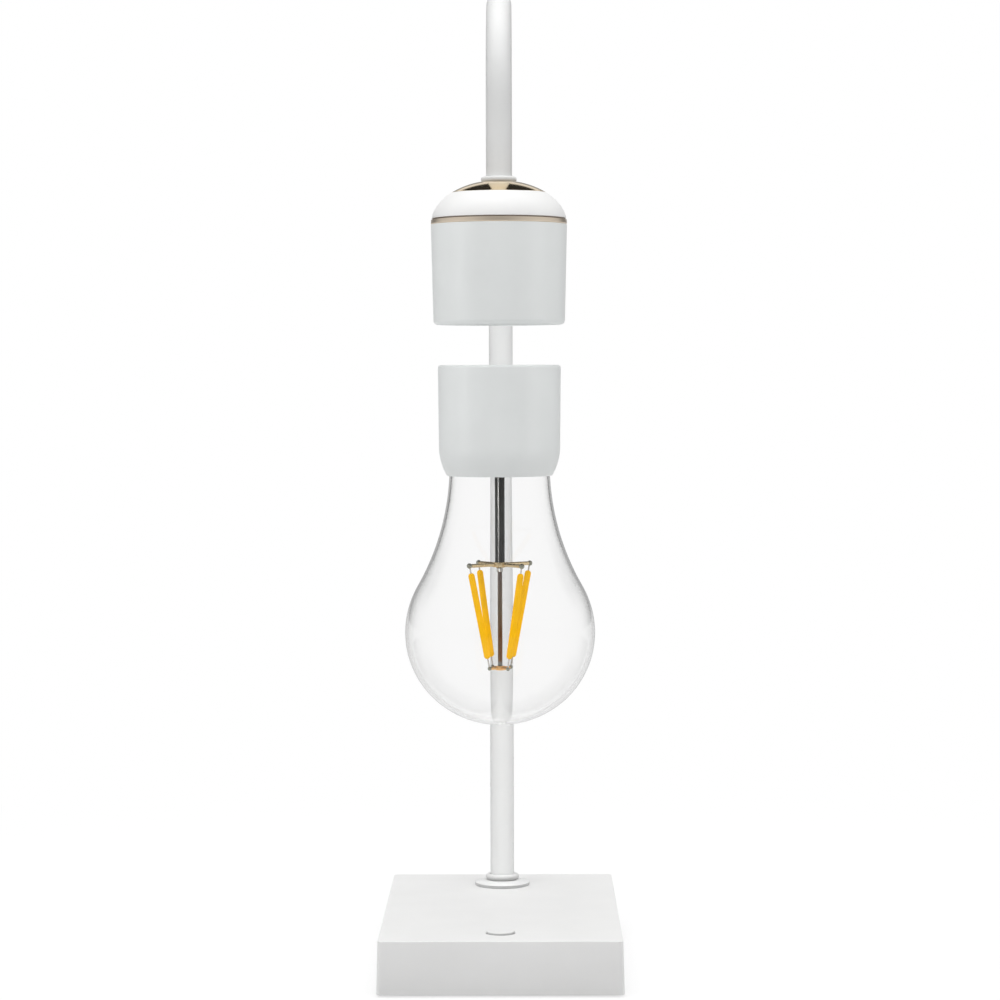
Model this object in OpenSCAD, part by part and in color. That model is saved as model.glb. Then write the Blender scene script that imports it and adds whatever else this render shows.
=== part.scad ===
// Levitating table lamp, in millimetres, +Z up, the front of the lamp towards -Y.
// The origin lies on the table under the middle of the base.
// A filament bulb floats under an electromagnet head that an arched tube holds above a flat base.

/* [Base] */
// Width of the base at its top edge
base_w = 75.5; // [70:0.1:90]
// Front to back length of the base at its top edge
base_l = 120; // [112:1:150]
// Height of the moulded base shell
base_h = 16.7; // [15.6:0.1:20]
// How far each side of the shell stands out at its foot
base_flare = 0.4; // [0:0.1:1]
// Corner radius of the base in plan
base_corner_r = 1.3; // [1:0.1:5]
// Rounding of the top edge of the base
base_edge_r = 0.5; // [0.3:0.1:1]
// Side wall of the base shell
base_wall = 2.2; // [2:0.1:2.6]
// Roof of the base shell
base_roof = 2.2; // [2:0.1:2.6]
// Bottom plate thickness
plate_t = 2; // [1.8:0.1:2.4]
// How far the rubber feet stand out below the shell
foot_out = 0.6; // [0.4:0.1:1]
// Diameter of a rubber foot
foot_d = 9; // [8:0.5:11]
// Steel ballast block height
ballast_h = 8; // [6:0.1:8.5]

/* [Button and inlet] */
// Distance of the button centre from the front edge
button_inset = 13.6; // [12.5:0.1:16]
// Button diameter
button_d = 8.7; // [8:0.1:9.5]
// How far the button stands above the base
button_proud = 0.7; // [0.6:0.1:1]
// How far the button goes down when pressed
button_travel = 0.5; // [0.3:0.1:0.5]
// Hole in the back wall for the power plug
inlet_d = 8; // [7.6:0.1:8.2]
// Bore of the barrel jack behind the inlet hole
jack_bore_d = 6.3; // [6:0.1:6.6]
// Centre pin of the barrel jack
jack_pin_d = 2; // [1.6:0.1:2.5]

/* [Pole] */
// Distance of the pole axis from the back edge
pole_inset = 20.2; // [19.8:0.1:24]
// Outside diameter of the bent tube
pole_d = 8; // [7.6:0.1:8.6]
// Wall of the bent tube
pole_wall = 0.8; // [0.6:0.1:1]
// Height of the arch centre above the base
pole_rise = 259.3; // [245:0.1:290]
// Centre line radius of the arch
arch_r = 34; // [33:0.5:37]
// Straight run of the arm from the arch to the top of the head
arm_leg = 25.5; // [24:0.5:32]
// Diameter of the disc at the foot of the pole
flange_d = 18.5; // [16:0.1:22]
// Thickness of the disc at its rim
flange_t = 1.1; // [1:0.05:2]
// How much the disc rises from its rim to the pole
flange_rise = 0.8; // [0.2:0.1:1]
// Diameter of the two tube collars
collar_d = 11.2; // [10.6:0.1:11.6]
// Height of the two tube collars
collar_h = 1.9; // [1.8:0.1:2.6]
// Diameter of the cable inside the tube
cable_d = 4.4; // [4.4:0.1:4.6]

/* [Head] */
// Radius of the dome where it meets the head
dome_r = 21.4; // [21.3:0.1:24]
// Rise of the dome's curve
dome_b = 13.9; // [12.5:0.1:15]
// Radius of the flat on top of the metal crown
crown_flat_r = 7; // [5.9:0.1:7.2]
// Diameter of the metal crown
crown_d = 30; // [26:0.1:31]
// Thickness of the metal crown
crown_t = 0.8; // [0.6:0.1:1]
// Wall of the dome under the crown
dome_t = 1.8; // [1.6:0.1:2]
// Height of the metal band
ring_h = 1.9; // [1.6:0.1:3]
// Height of the head shell below the band
head_h = 31.4; // [31:0.1:38]
// How much narrower in radius the head is at its bottom
head_taper = 0.7; // [0:0.1:0.8]
// Wall of the head shell at its bottom
head_wall = 1.8; // [1.6:0.1:2]
// Electromagnet spool height
spool_h = 19; // [16:0.1:19]
// Electromagnet core diameter
core_d = 12; // [10:0.1:12.5]

/* [Bulb] */
// Air gap between the head and the floating bulb
float_gap = 12.7; // [8:0.1:16]
// Diameter of the bulb cap at its top
cap_d = 38.7; // [36:0.1:44]
// Height of the bulb cap
cap_h = 34.8; // [33.5:0.1:38]
// How much narrower in radius the cap is where its end begins to curve in
cap_taper = 0.25; // [0:0.05:0.3]
// Height of the curved in end of the cap
cap_skirt_h = 9.3; // [8:0.1:10]
// Outside diameter of the cap at its mouth
cap_mouth_d = 33.2; // [33.2:0.1:37]
// Diameter of the lifting magnet
magnet_d = 18; // [16:0.5:18]
// Thickness of the lifting magnet
magnet_t = 6; // [5:0.5:6.5]
// Diameter of the glass at its widest
glass_d = 60; // [57:0.5:66]
// Outside diameter of the glass neck
neck_d = 31.6; // [29:0.1:32]
// Glass below the cap
glass_drop = 78.8; // [77:0.1:86]
// Height of the rounded lower half of the glass
belly_h = 29.1; // [27.5:0.1:31]
// Glass wall
glass_t = 0.8; // [0.7:0.1:1]

/* [Filaments] */
// Stem tube diameter
stem_d = 3.1; // [2.7:0.1:3.4]
// Diameter of the rod that runs down the stem tube
rod_d = 1.45; // [1.2:0.05:1.5]
// How far the upper cross hangs below the cap
cross_drop = 28.2; // [26:0.1:30]
// Height between the two crosses
cross_gap = 32.7; // [32:0.1:35]
// Tip to tip length of an upper bar
upper_span = 23.4; // [20:0.1:25]
// Tip to tip length of a lower bar
lower_span = 8.2; // [7.6:0.1:9]
// Bar diameter of the crosses
bar_d = 1.2; // [0.9:0.1:1.3]
// Turn of the crosses about the bulb axis
cross_turn = 36; // [0:1:90]
// Length of the coated part of a filament
filament_l = 28; // [25:0.5:28]
// Diameter of the coated part of a filament
filament_d = 2; // [1.6:0.1:2.2]
// Solder bead diameter at the bar tips
bead_d = 1.7; // [1.6:0.1:2]

/* [Fits] */
// Radial gap between pieces that are pushed together
slip = 0.1; // [0.05:0.05:0.15]
// Gap between pieces that move against each other
move_gap = 0.25; // [0.2:0.05:0.3]

/* [Hidden] */
// Smoothness of turned shapes
$fn = 96;
// Smoothness of the moulded base outline
mould_fn = 32;
// Number of steps along a drawn curve
steps = 20;
// Small length for clean cuts
eps = 0.01;

// Base stack
base_top = foot_out + base_h;
roof_z = base_top - base_roof;
plate_top = foot_out + plate_t;
rim_wall = 1.2;
rim_r = 2;
cavity_r = 1;
inner_w = base_w - 2 * base_wall;
inner_l = base_l - 2 * base_wall;
plate_w = base_w - 2 * rim_wall;
plate_l = base_l - 2 * rim_wall;

// Case screws and feet
screw_inset = 7;
screw_x = base_w / 2 - screw_inset;
screw_y = base_l / 2 - screw_inset;
screw_d = 2.4;
screw_head_d = 4.6;
screw_head_h = 1.3;
screw_l = 9;
post_d = 6;
post_hole_l = 8;
cross_slot_l = 2.4;
cross_slot_w = 0.5;
cross_slot_h = 0.7;
foot_seat = 0.6;
foot_inset_x = 15;
foot_inset_y = 13;
foot_x = base_w / 2 - foot_inset_x;
foot_y = base_l / 2 - foot_inset_y;
small_screw_d = 1.8;
small_head_d = 3.6;
small_head_h = 1;

// Button and its switch
button_y = button_inset - base_l / 2;
button_top = base_top + button_proud;
button_edge_r = 0.4;
button_rim = 1.4;
button_rim_d = button_d + 2 * button_rim;
button_rim_h = 1;
button_rim_z = roof_z - move_gap;
plunger_d = 3.4;
switch_w = 6.2;
switch_h = 3.4;
switch_top = button_rim_z - button_rim_h - button_travel - 2 * move_gap;
switch_z = switch_top - switch_h;
plunger_l = button_travel + 4 * move_gap + button_travel;
well_l = plunger_l;
switch_board_w = 26;
switch_board_l = 12;
switch_board_t = 1.2;
switch_board_z = switch_z - switch_board_t;
switch_post_x = 9.5;
switch_post_d = 4.4;
switch_screw_l = switch_board_t + 3;

// Pole, arch and arm
pole_y = base_l / 2 - pole_inset;
arm_y = pole_y - 2 * arch_r;
arch_z = base_top + pole_rise;
tube_r = pole_d / 2;
pad_d = 16;
pad_t = 1.5;
washer_d = 13;
washer_t = 0.8;
nut_d = 12.4;
nut_h = 3;
pole_nut_z = roof_z - pad_t - washer_t - nut_h;
tube_tail = 0.8;
pole_end_z = pole_nut_z - tube_tail;

// Control board and inlet
board_gap = 0.4;
board_t = 1.6;
board_l = 44;
board_w = 50;
board_post_h = 1.4;
board_post_d = 5;
board_z = plate_top + board_post_h;
board_top = board_z + board_t;
board_y1 = inner_l / 2 - board_gap;
board_y0 = board_y1 - board_l;
board_hole_side = 5;
board_hole_x = board_w / 2 - board_hole_side;
board_hole_in = 4;
board_screw_l = board_t + board_post_h;
jack_w = 9;
jack_h = 8.1;
jack_l = 9.4;
jack_bore_l = 8;
jack_pin_l = 7;
jack_z = board_top + jack_h / 2;
inlet_seat_d = 11.6;
inlet_seat = 0.2;
ballast_side = 4.5;
ballast_w = inner_w - 2 * ballast_side;
ballast_front = 10.4;
ballast_y0 = button_y + ballast_front;
ballast_back = 2;
ballast_y1 = board_y0 - ballast_back;
lead_d = 2;
lead_x = inner_w / 2 - ballast_side / 2;

// Head stack, from the top down
head_top = arch_z - arm_leg;
dome_z = head_top - dome_b * sqrt(1 - pow(crown_flat_r / dome_r, 2));
crown_r = crown_d / 2;
crown_z = dome_z + dome_b * sqrt(1 - pow(crown_r / dome_r, 2));
ring_top = dome_z + ring_h;
head_bot = dome_z - head_h;
head_floor = 1.6;
head_floor_z = head_bot + head_floor;
head_r = dome_r - head_taper;
head_bore_r = head_r - head_wall;
head_edge_r = 1.4;
dome_roof_z = head_top - crown_t - slip - dome_t;
head_nut_z = dome_roof_z - washer_t - nut_h;
arm_end_z = head_nut_z - tube_tail;
spigot_r = head_bore_r - slip;
spigot_t = 1.6;
nut_seat_r = 7.5;

// Electromagnet stack, from the floor of the head up
coil_t = 1.6;
coil_z = head_floor_z + coil_t;
coil_gap = 1;
coil_od = 2 * (head_bore_r - coil_gap);
coil_id = 24;
spool_top = coil_z + spool_h;
spool_d = 30;
spool_flange = 1.2;
spool_tube = 1;
sensor_top = spool_top + board_t;
core_head_d = 16;
core_head_h = 1.5;
hall_w = 4;
hall_l = 3;
cable_side = 11.5;
cable_tail = 2.5;
cable_turn_z = arm_end_z - cable_tail;
cable_drop = 5.5;

// Bulb cap stack, from the top down
cap_top = head_bot - float_gap;
cap_bot = cap_top - cap_h;
cap_r = cap_d / 2;
cap_low_r = cap_r - cap_taper;
cap_skirt_z = cap_bot + cap_skirt_h;
cap_mouth_r = cap_mouth_d / 2;
cap_edge_r = 0.9;
cap_wall = 1.8;
cap_roof = 1.6;
cap_bore_r = cap_low_r - cap_wall;
cap_roof_z = cap_top - cap_roof;
skirt_in = cap_low_r - cap_mouth_r;
skirt_arc_r = (pow(skirt_in, 2) + pow(cap_skirt_h, 2)) / (2 * skirt_in);
skirt_arc_a = asin(cap_skirt_h / skirt_arc_r);
pickup_t = 2;
pickup_id = 20;
tray_top = cap_roof_z - pickup_t;
tray_h = 13.9;
tray_bot = tray_top - tray_h;
tray_r = cap_bore_r - slip;
tray_skirt = 1.6;
tray_deck = 1.4;
magnet_top = cap_roof_z - move_gap;
magnet_z = magnet_top - magnet_t;
pocket_z = magnet_z - move_gap;
driver_z = tray_bot - board_t;
plug_flange = 1.5;
glass_top = driver_z - plug_flange;
plug_l = 3;

// Glass outline: a round belly, then a long hollow curve up to the neck
glass_r = glass_d / 2;
neck_r = neck_d / 2;
belly_z = cap_bot - glass_drop + belly_h;
neck_in = 3.6;
neck_z = cap_bot + neck_in;
neck_h = neck_z - belly_z;
neck_arc_r = (pow(neck_r, 2) + pow(neck_h, 2) - pow(glass_r, 2)) / (2 * (glass_r - neck_r));
neck_arc_x = neck_r + neck_arc_r;
neck_a = atan2(neck_h, neck_arc_x);
mouth_glass_r = neck_arc_x - sqrt(pow(neck_arc_r, 2) - pow(neck_in, 2));
seal_t = 0.6;
neck_hole_r = neck_r + 2 * slip;
seat_r = neck_hole_r + seal_t;

// Crosses and filaments
stem_r = stem_d / 2;
stem_wall = 0.3;
nose_h = 1.5;
nose_wall = 0.4;
rod_r = rod_d / 2;
upper_z = cap_bot - cross_drop;
lower_z = upper_z - cross_gap;
hub_wall = 0.9;
hub_d = stem_d + 2 * hub_wall;
hub_h = 1.6;
low_hub_wall = 0.7;
low_hub_d = rod_d + 2 * low_hub_wall;
low_hub_h = 1.4;
low_share = 0.75;
low_bar_d = bar_d * low_share;
low_bead_d = bead_d * low_share;
upper_tip = upper_span / 2;
lower_tip = lower_span / 2;
tip_in = upper_tip - lower_tip;
wire_l = sqrt(pow(tip_in, 2) + pow(cross_gap, 2));
wire_a = atan2(tip_in, cross_gap);
spare_l = wire_l - filament_l;
top_tab_share = 0.42;
filament_s1 = spare_l * (1 - top_tab_share);
filament_s2 = filament_s1 + filament_l;
tab_d = 0.5;

// Points of a circular arc in the turning plane
function arc_pts(x, z, r, a0, a1) =
    [for (i = [0 : steps]) [x + r * cos(a0 + (a1 - a0) * i / steps), z + r * sin(a0 + (a1 - a0) * i / steps)]];

// Points of an ellipse in the turning plane
function oval_pts(rx, rz, z, a0, a1) =
    [for (i = [0 : steps]) [rx * cos(a0 + (a1 - a0) * i / steps), z + rz * sin(a0 + (a1 - a0) * i / steps)]];

// Angle at which an ellipse of the given rise reaches a height
function rise_a(h, rz) = asin(h / rz);

// A turned solid from points of radius and height
module lathe(pts) {
    rotate_extrude()
        polygon(pts);
}

// A ring with square edges
module washer(ro, ri, h) {
    difference() {
        cylinder(r = ro, h = h);
        translate([0, 0, -eps])
            cylinder(r = ri, h = h + 2 * eps);
    }
}

// A flat rectangle with round corners
module round_rect(w, l, r) {
    square([w - 2 * r, l], center = true);
    square([w, l - 2 * r], center = true);
    for (sx = [-1, 1], sy = [-1, 1])
        translate([sx * (w / 2 - r), sy * (l / 2 - r)])
            circle(r = r);
}

// Four copies mirrored about both middle planes
module four(x, y) {
    for (sx = [-1, 1], sy = [-1, 1])
        translate([sx * x, sy * y, 0])
            children();
}

// A round bar from one point to another
module bar(p, q, r) {
    d = q - p;
    translate(p)
        rotate([0, acos(d[2] / norm(d)), atan2(d[1], d[0])])
            cylinder(r = r, h = norm(d));
}

// A round wire through a list of points, a little fuller at its bends
bend_swell = 1.04;
module wire(pts, r) {
    for (i = [0 : len(pts) - 2])
        bar(pts[i], pts[i + 1], r);
    for (i = [1 : len(pts) - 2])
        translate(pts[i])
            sphere(r = r * bend_swell);
}

// The round path of the tube: up the pole, over the arch and down the arm
module arch_path(r, low, end) {
    translate([0, pole_y, low])
        cylinder(r = r, h = arch_z - low);
    translate([0, arm_y + arch_r, arch_z])
        rotate([90, 0, 90])
            rotate_extrude(angle = 180)
                translate([arch_r, 0])
                    circle(r = r);
    translate([0, arm_y, end])
        cylinder(r = r, h = arch_z - end);
}

// Everything that hangs on the vertical axis of the head
module on_axis(z) {
    translate([0, arm_y, z])
        children();
}

// Outside of the base, drafted and with rounded top edges
module base_outer() {
    hull() {
        four(base_w / 2 + base_flare - base_corner_r, base_l / 2 + base_flare - base_corner_r)
            translate([0, 0, foot_out])
                cylinder(r = base_corner_r, h = eps, $fn = mould_fn);
        four(base_w / 2 - base_corner_r, base_l / 2 - base_corner_r)
            translate([0, 0, base_top - base_edge_r])
                rotate_extrude($fn = mould_fn)
                    translate([base_corner_r - base_edge_r, 0])
                        intersection() {
                            circle(r = base_edge_r, $fn = mould_fn);
                            translate([base_edge_r - base_corner_r, -base_edge_r])
                                square([base_corner_r, 2 * base_edge_r]);
                        }
    }
}

// Moulded shell of the base with its screw posts, pole pad and switch posts
module base_shell() {
    color("white")
        difference() {
            union() {
                difference() {
                    base_outer();
                    translate([0, 0, foot_out - eps])
                        linear_extrude(roof_z - foot_out + eps)
                            round_rect(inner_w, inner_l, cavity_r);
                    translate([0, 0, foot_out - eps])
                        linear_extrude(plate_t + eps)
                            round_rect(plate_w, plate_l, rim_r);
                }
                four(screw_x, screw_y)
                    translate([0, 0, plate_top])
                        cylinder(d = post_d, h = roof_z - plate_top + eps);
                translate([0, pole_y, roof_z - pad_t])
                    cylinder(d = pad_d, h = pad_t + eps);
                for (sx = [-1, 1])
                    translate([sx * switch_post_x, button_y, switch_z])
                        cylinder(d = switch_post_d, h = roof_z - switch_z + eps);
            }
            four(screw_x, screw_y)
                translate([0, 0, plate_top - eps])
                    cylinder(d = screw_d + 2 * slip, h = post_hole_l + eps);
            translate([0, pole_y, roof_z - pad_t - eps])
                cylinder(r = tube_r + slip, h = base_roof + pad_t + 2 * eps);
            translate([0, button_y, roof_z - eps])
                cylinder(d = button_d + 2 * move_gap, h = base_roof + 2 * eps);
            for (sx = [-1, 1])
                translate([sx * switch_post_x, button_y, switch_z - eps])
                    cylinder(d = small_screw_d + 2 * slip, h = switch_screw_l);
            translate([0, inner_l / 2 - eps, jack_z])
                rotate([-90, 0, 0])
                    cylinder(d = inlet_d, h = base_wall + base_flare + 2 * eps);
            translate([0, base_l / 2 - inlet_seat, jack_z])
                rotate([-90, 0, 0])
                    cylinder(d = inlet_seat_d, h = base_flare + inlet_seat + eps);
        }
}

// Plate that closes the base from below
module bottom_plate() {
    color("gainsboro")
        difference() {
            union() {
                translate([0, 0, foot_out])
                    linear_extrude(plate_t)
                        round_rect(plate_w - 2 * slip, plate_l - 2 * slip, rim_r);
                board_spots(plate_top - eps)
                    cylinder(d = board_post_d, h = board_post_h + eps);
            }
            four(screw_x, screw_y)
                screw_shape(slip);
            four(foot_x, foot_y)
                translate([0, 0, foot_out - eps])
                    cylinder(d = foot_d + 2 * slip, h = foot_seat + eps);
            board_spots(board_z - board_screw_l + board_t)
                cylinder(d = small_screw_d + 2 * slip, h = board_screw_l);
        }
}

// The four places where the control board is screwed down
module board_spots(z) {
    for (sx = [-1, 1], y = [board_y0 + board_hole_in, board_y1 - board_hole_in])
        translate([sx * board_hole_x, y, z])
            children();
}

// A countersunk case screw, grown by a gap
module screw_shape(gap) {
    translate([0, 0, foot_out - eps * (gap > 0 ? 1 : 0)])
        cylinder(d1 = screw_head_d + 2 * gap, d2 = screw_d + 2 * gap, h = screw_head_h);
    translate([0, 0, foot_out])
        cylinder(d = screw_d + 2 * gap, h = screw_l);
}

// Four case screws with cross recesses
module case_screws() {
    color("silver")
        four(screw_x, screw_y)
            difference() {
                screw_shape(0);
                for (a = [0, 90])
                    rotate([0, 0, a])
                        translate([-cross_slot_l / 2, -cross_slot_w / 2, foot_out - eps])
                            cube([cross_slot_l, cross_slot_w, cross_slot_h]);
            }
}

// Four rubber feet let into the bottom plate
module rubber_feet() {
    color("dimgray")
        four(foot_x, foot_y)
            cylinder(d = foot_d, h = foot_out + foot_seat);
}

// Steel block that keeps the lamp from tipping
module ballast() {
    color("slategray")
        translate([-ballast_w / 2, ballast_y0, plate_top])
            cube([ballast_w, ballast_y1 - ballast_y0, ballast_h]);
}

// Control board on the bottom plate
module control_board() {
    color("seagreen")
        difference() {
            translate([-board_w / 2, board_y0, board_z])
                cube([board_w, board_l, board_t]);
            board_spots(board_z - eps)
                cylinder(d = small_screw_d + 2 * slip, h = board_t + 2 * eps);
        }
}

// Parts soldered on the control board
choke_w = 7;
choke_h = 3.6;
chip_w = 6;
chip_h = 1.2;
can_d = 6.3;
can_h = 5.6;
part_x = 13;
part_y1 = 12;
part_y2 = 20;
module board_parts() {
    color("dimgray") {
        translate([-part_x - choke_w / 2, board_y0 + part_y1 - choke_w / 2, board_top])
            cube([choke_w, choke_w, choke_h]);
        translate([-part_x - chip_w / 2, board_y0 + part_y2 - chip_w / 2, board_top])
            cube([chip_w, chip_w, chip_h]);
        for (y = [part_y1, part_y2])
            translate([part_x, board_y0 + y, board_top])
                cylinder(d = can_d, h = can_h);
    }
}

// Screws that hold the control board
module board_screws() {
    color("silver")
        board_spots(board_top) {
            cylinder(d = small_head_d, h = small_head_h);
            translate([0, 0, eps - board_screw_l])
                cylinder(d = small_screw_d, h = board_screw_l);
        }
}

// Barrel jack behind the inlet hole
module dc_jack() {
    color("black")
        translate([0, inner_l / 2 - slip, jack_z]) {
            difference() {
                translate([-jack_w / 2, -jack_l, -jack_h / 2])
                    cube([jack_w, jack_l, jack_h]);
                translate([0, eps, 0])
                    rotate([90, 0, 0])
                        cylinder(d = jack_bore_d, h = jack_bore_l);
            }
            translate([0, -jack_bore_l - eps, 0])
                rotate([-90, 0, 0])
                    cylinder(d = jack_pin_d, h = jack_pin_l);
        }
}

// Round push button with a rim that keeps it in the shell
module power_button() {
    color("whitesmoke")
        translate([0, button_y, 0])
            lathe(concat(
                [[0, button_rim_z - button_rim_h],
                 [button_rim_d / 2, button_rim_z - button_rim_h],
                 [button_rim_d / 2, button_rim_z],
                 [button_d / 2, button_rim_z]],
                arc_pts(button_d / 2 - button_edge_r, button_top - button_edge_r, button_edge_r, 0, 90),
                [[0, button_top]]
            ));
}

// Plunger of the switch, pressed by the button
module switch_plunger() {
    color("black")
        translate([0, button_y, button_rim_z - button_rim_h - plunger_l])
            cylinder(d = plunger_d, h = plunger_l);
}

// Body of the push switch with a well for its plunger
module tact_switch() {
    color("dimgray")
        difference() {
            translate([-switch_w / 2, button_y - switch_w / 2, switch_z])
                cube([switch_w, switch_w, switch_h]);
            translate([0, button_y, switch_top - well_l])
                cylinder(d = plunger_d + 2 * move_gap, h = well_l + eps);
        }
}

// Small board that carries the switch
module switch_board() {
    color("seagreen")
        difference() {
            translate([-switch_board_w / 2, button_y - switch_board_l / 2, switch_board_z])
                cube([switch_board_w, switch_board_l, switch_board_t]);
            for (sx = [-1, 1])
                translate([sx * switch_post_x, button_y, switch_board_z - eps])
                    cylinder(d = small_screw_d + 2 * slip, h = switch_board_t + 2 * eps);
        }
}

// Two screws that hold the switch board from below
module switch_screws() {
    color("silver")
        for (sx = [-1, 1])
            translate([sx * switch_post_x, button_y, switch_board_z - small_head_h]) {
                cylinder(d = small_head_d, h = small_head_h);
                cylinder(d = small_screw_d, h = small_head_h + switch_screw_l - 2 * slip);
            }
}

// Lead from the switch board past the ballast to the control board
lead_run_z = switch_board_z + switch_board_t / 2;
lead_front_y = button_y + switch_board_l / 4;
lead_back_y = board_y0 + lead_d * 3;
module switch_lead() {
    color("firebrick")
        wire([
            [switch_board_w / 2 + slip, lead_front_y, lead_run_z],
            [lead_x, lead_front_y, lead_run_z],
            [lead_x, lead_back_y, lead_run_z],
            [board_w / 2 - lead_d, lead_back_y, lead_run_z],
            [board_w / 2 - lead_d, lead_back_y, board_top]
        ], lead_d / 2);
}

// Disc at the foot of the pole
flange_edge = 0.3;
module pole_flange() {
    color("white")
        translate([0, pole_y, base_top])
            lathe([
                [tube_r + slip, 0],
                [flange_d / 2, 0],
                [flange_d / 2, flange_t - flange_edge],
                [flange_d / 2 - flange_edge, flange_t],
                [collar_d / 2, flange_t + flange_rise],
                [tube_r + slip, flange_t + flange_rise]
            ]);
}

// A round edged collar on the tube
collar_edge = 0.85;
module collar_shape() {
    lathe(concat(
        [[tube_r + slip, 0]],
        arc_pts(collar_d / 2 - collar_edge, collar_edge, collar_edge, -90, 0),
        arc_pts(collar_d / 2 - collar_edge, collar_h - collar_edge, collar_edge, 0, 90),
        [[tube_r + slip, collar_h]]
    ));
}

// Collar above the disc
module pole_collar() {
    color("white")
        translate([0, pole_y, base_top + flange_t + flange_rise])
            collar_shape();
}

// Bent tube: pole, arch and arm in one piece
module pole_tube() {
    color("white")
        difference() {
            arch_path(tube_r, pole_end_z, arm_end_z);
            arch_path(tube_r - pole_wall, pole_end_z - eps, arm_end_z - eps);
        }
}

// Washer under the roof of the base
module pole_washer() {
    color("silver")
        translate([0, pole_y, roof_z - pad_t - washer_t])
            washer(washer_d / 2, tube_r + slip, washer_t);
}

// A six sided nut that clamps the tube
module nut_shape() {
    difference() {
        cylinder(d = nut_d, h = nut_h, $fn = 6);
        translate([0, 0, -eps])
            cylinder(r = tube_r + slip, h = nut_h + 2 * eps);
    }
}

// Nut under the roof of the base
module pole_nut() {
    color("silver")
        translate([0, pole_y, pole_nut_z])
            nut_shape();
}

// Cable from the control board through the tube to the sensor board
module pole_cable() {
    color("dimgray") {
        arch_path(cable_d / 2, board_top, cable_turn_z);
        wire([
            [0, arm_y, cable_turn_z + eps],
            [0, arm_y, cable_turn_z],
            [cable_side, arm_y, cable_turn_z - cable_drop],
            [cable_side, arm_y, sensor_top]
        ], cable_d / 2);
    }
}

// Collar on top of the head
module head_collar() {
    color("white")
        on_axis(head_top)
            collar_shape();
}

// Polished metal crown on the dome
module head_crown() {
    in_r = dome_r - crown_t;
    in_b = dome_b - crown_t;
    color("goldenrod")
        on_axis(0)
            lathe(concat(
                [[tube_r + slip, head_top]],
                oval_pts(dome_r, dome_b, dome_z, acos(crown_flat_r / dome_r), acos(crown_r / dome_r)),
                oval_pts(in_r, in_b, dome_z, rise_a(crown_z - dome_z, in_b),
                    rise_a(head_top - crown_t - dome_z, in_b)),
                [[tube_r + slip, head_top - crown_t]]
            ));
}

// Dome with a spigot that centres it in the head shell
module head_dome() {
    seat_r = dome_r - crown_t - slip;
    seat_b = dome_b - crown_t - slip;
    in_r = spigot_r - spigot_t;
    in_b = (dome_roof_z - ring_top) / sqrt(1 - pow(nut_seat_r / in_r, 2));
    color("white")
        on_axis(0)
            lathe(concat(
                [[spigot_r, sensor_top], [spigot_r, ring_top]],
                oval_pts(dome_r, dome_b, dome_z, rise_a(ring_h, dome_b), acos(crown_r / dome_r)),
                oval_pts(seat_r, seat_b, dome_z, rise_a(crown_z - dome_z, seat_b),
                    rise_a(head_top - crown_t - slip - dome_z, seat_b)),
                [[tube_r + slip, head_top - crown_t - slip], [tube_r + slip, dome_roof_z]],
                oval_pts(in_r, in_b, ring_top, acos(nut_seat_r / in_r), 0),
                [[in_r, sensor_top]]
            ));
}

// Washer under the dome roof
module head_washer() {
    color("silver")
        on_axis(dome_roof_z - washer_t)
            washer(washer_d / 2, tube_r + slip, washer_t);
}

// Nut under the dome roof
module head_nut() {
    color("silver")
        on_axis(head_nut_z)
            nut_shape();
}

// Metal band between the head shell and the dome
ring_edge = 0.25;
module head_ring() {
    top_r = dome_r * sqrt(1 - pow(ring_h / dome_b, 2));
    color("goldenrod")
        on_axis(0)
            lathe([
                [head_bore_r, dome_z],
                [dome_r - ring_edge, dome_z],
                [dome_r, dome_z + ring_edge],
                [top_r + ring_edge / 2, ring_top - ring_edge],
                [top_r - ring_edge / 2, ring_top],
                [head_bore_r, ring_top]
            ]);
}

// Head shell, a cup with a closed floor
module head_shell() {
    color("white")
        on_axis(0)
            lathe(concat(
                [[0, head_bot]],
                arc_pts(head_r - head_edge_r, head_bot + head_edge_r, head_edge_r, -90, 0),
                [[dome_r, dome_z], [head_bore_r, dome_z], [head_bore_r, head_floor_z], [0, head_floor_z]]
            ));
}

// Spool of the electromagnet
module coil_spool() {
    in_r = core_d / 2 + slip;
    color("ivory")
        on_axis(coil_z)
            lathe([
                [in_r, 0],
                [spool_d / 2, 0],
                [spool_d / 2, spool_flange],
                [in_r + spool_tube, spool_flange],
                [in_r + spool_tube, spool_h - spool_flange],
                [spool_d / 2, spool_h - spool_flange],
                [spool_d / 2, spool_h],
                [in_r, spool_h]
            ]);
}

// Copper winding on the spool
module coil_winding() {
    color("peru")
        on_axis(coil_z + spool_flange)
            washer(spool_d / 2 - spool_tube, core_d / 2 + spool_tube + 2 * slip, spool_h - 2 * spool_flange);
}

// Iron core with a head that rests on the sensor board
module magnet_core() {
    color("slategray")
        on_axis(coil_z) {
            cylinder(d = core_d, h = sensor_top - coil_z + eps);
            translate([0, 0, sensor_top - coil_z])
                cylinder(d = core_head_d, h = core_head_h);
        }
}

// Round board that watches the magnet
module sensor_board() {
    color("seagreen")
        on_axis(spool_top)
            washer(head_bore_r - slip, core_d / 2 + slip, board_t);
}

// Parts soldered on the sensor board
sensor_can_d = 5.3;
sensor_can_h = 2.4;
sensor_can_y = 12.15;
module sensor_parts() {
    color("dimgray")
        on_axis(sensor_top) {
            translate([-core_head_d / 2 - chip_w, -chip_w / 2, 0])
                cube([chip_w - slip, chip_w, chip_h]);
            for (sy = [-1, 1])
                translate([0, sy * sensor_can_y, 0])
                    cylinder(d = sensor_can_d, h = sensor_can_h);
        }
}

// Field sensor under the core
module hall_sensor() {
    color("black")
        on_axis(head_floor_z)
            translate([-hall_w / 2, -hall_l / 2, 0])
                cube([hall_w, hall_l, coil_t]);
}

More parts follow.
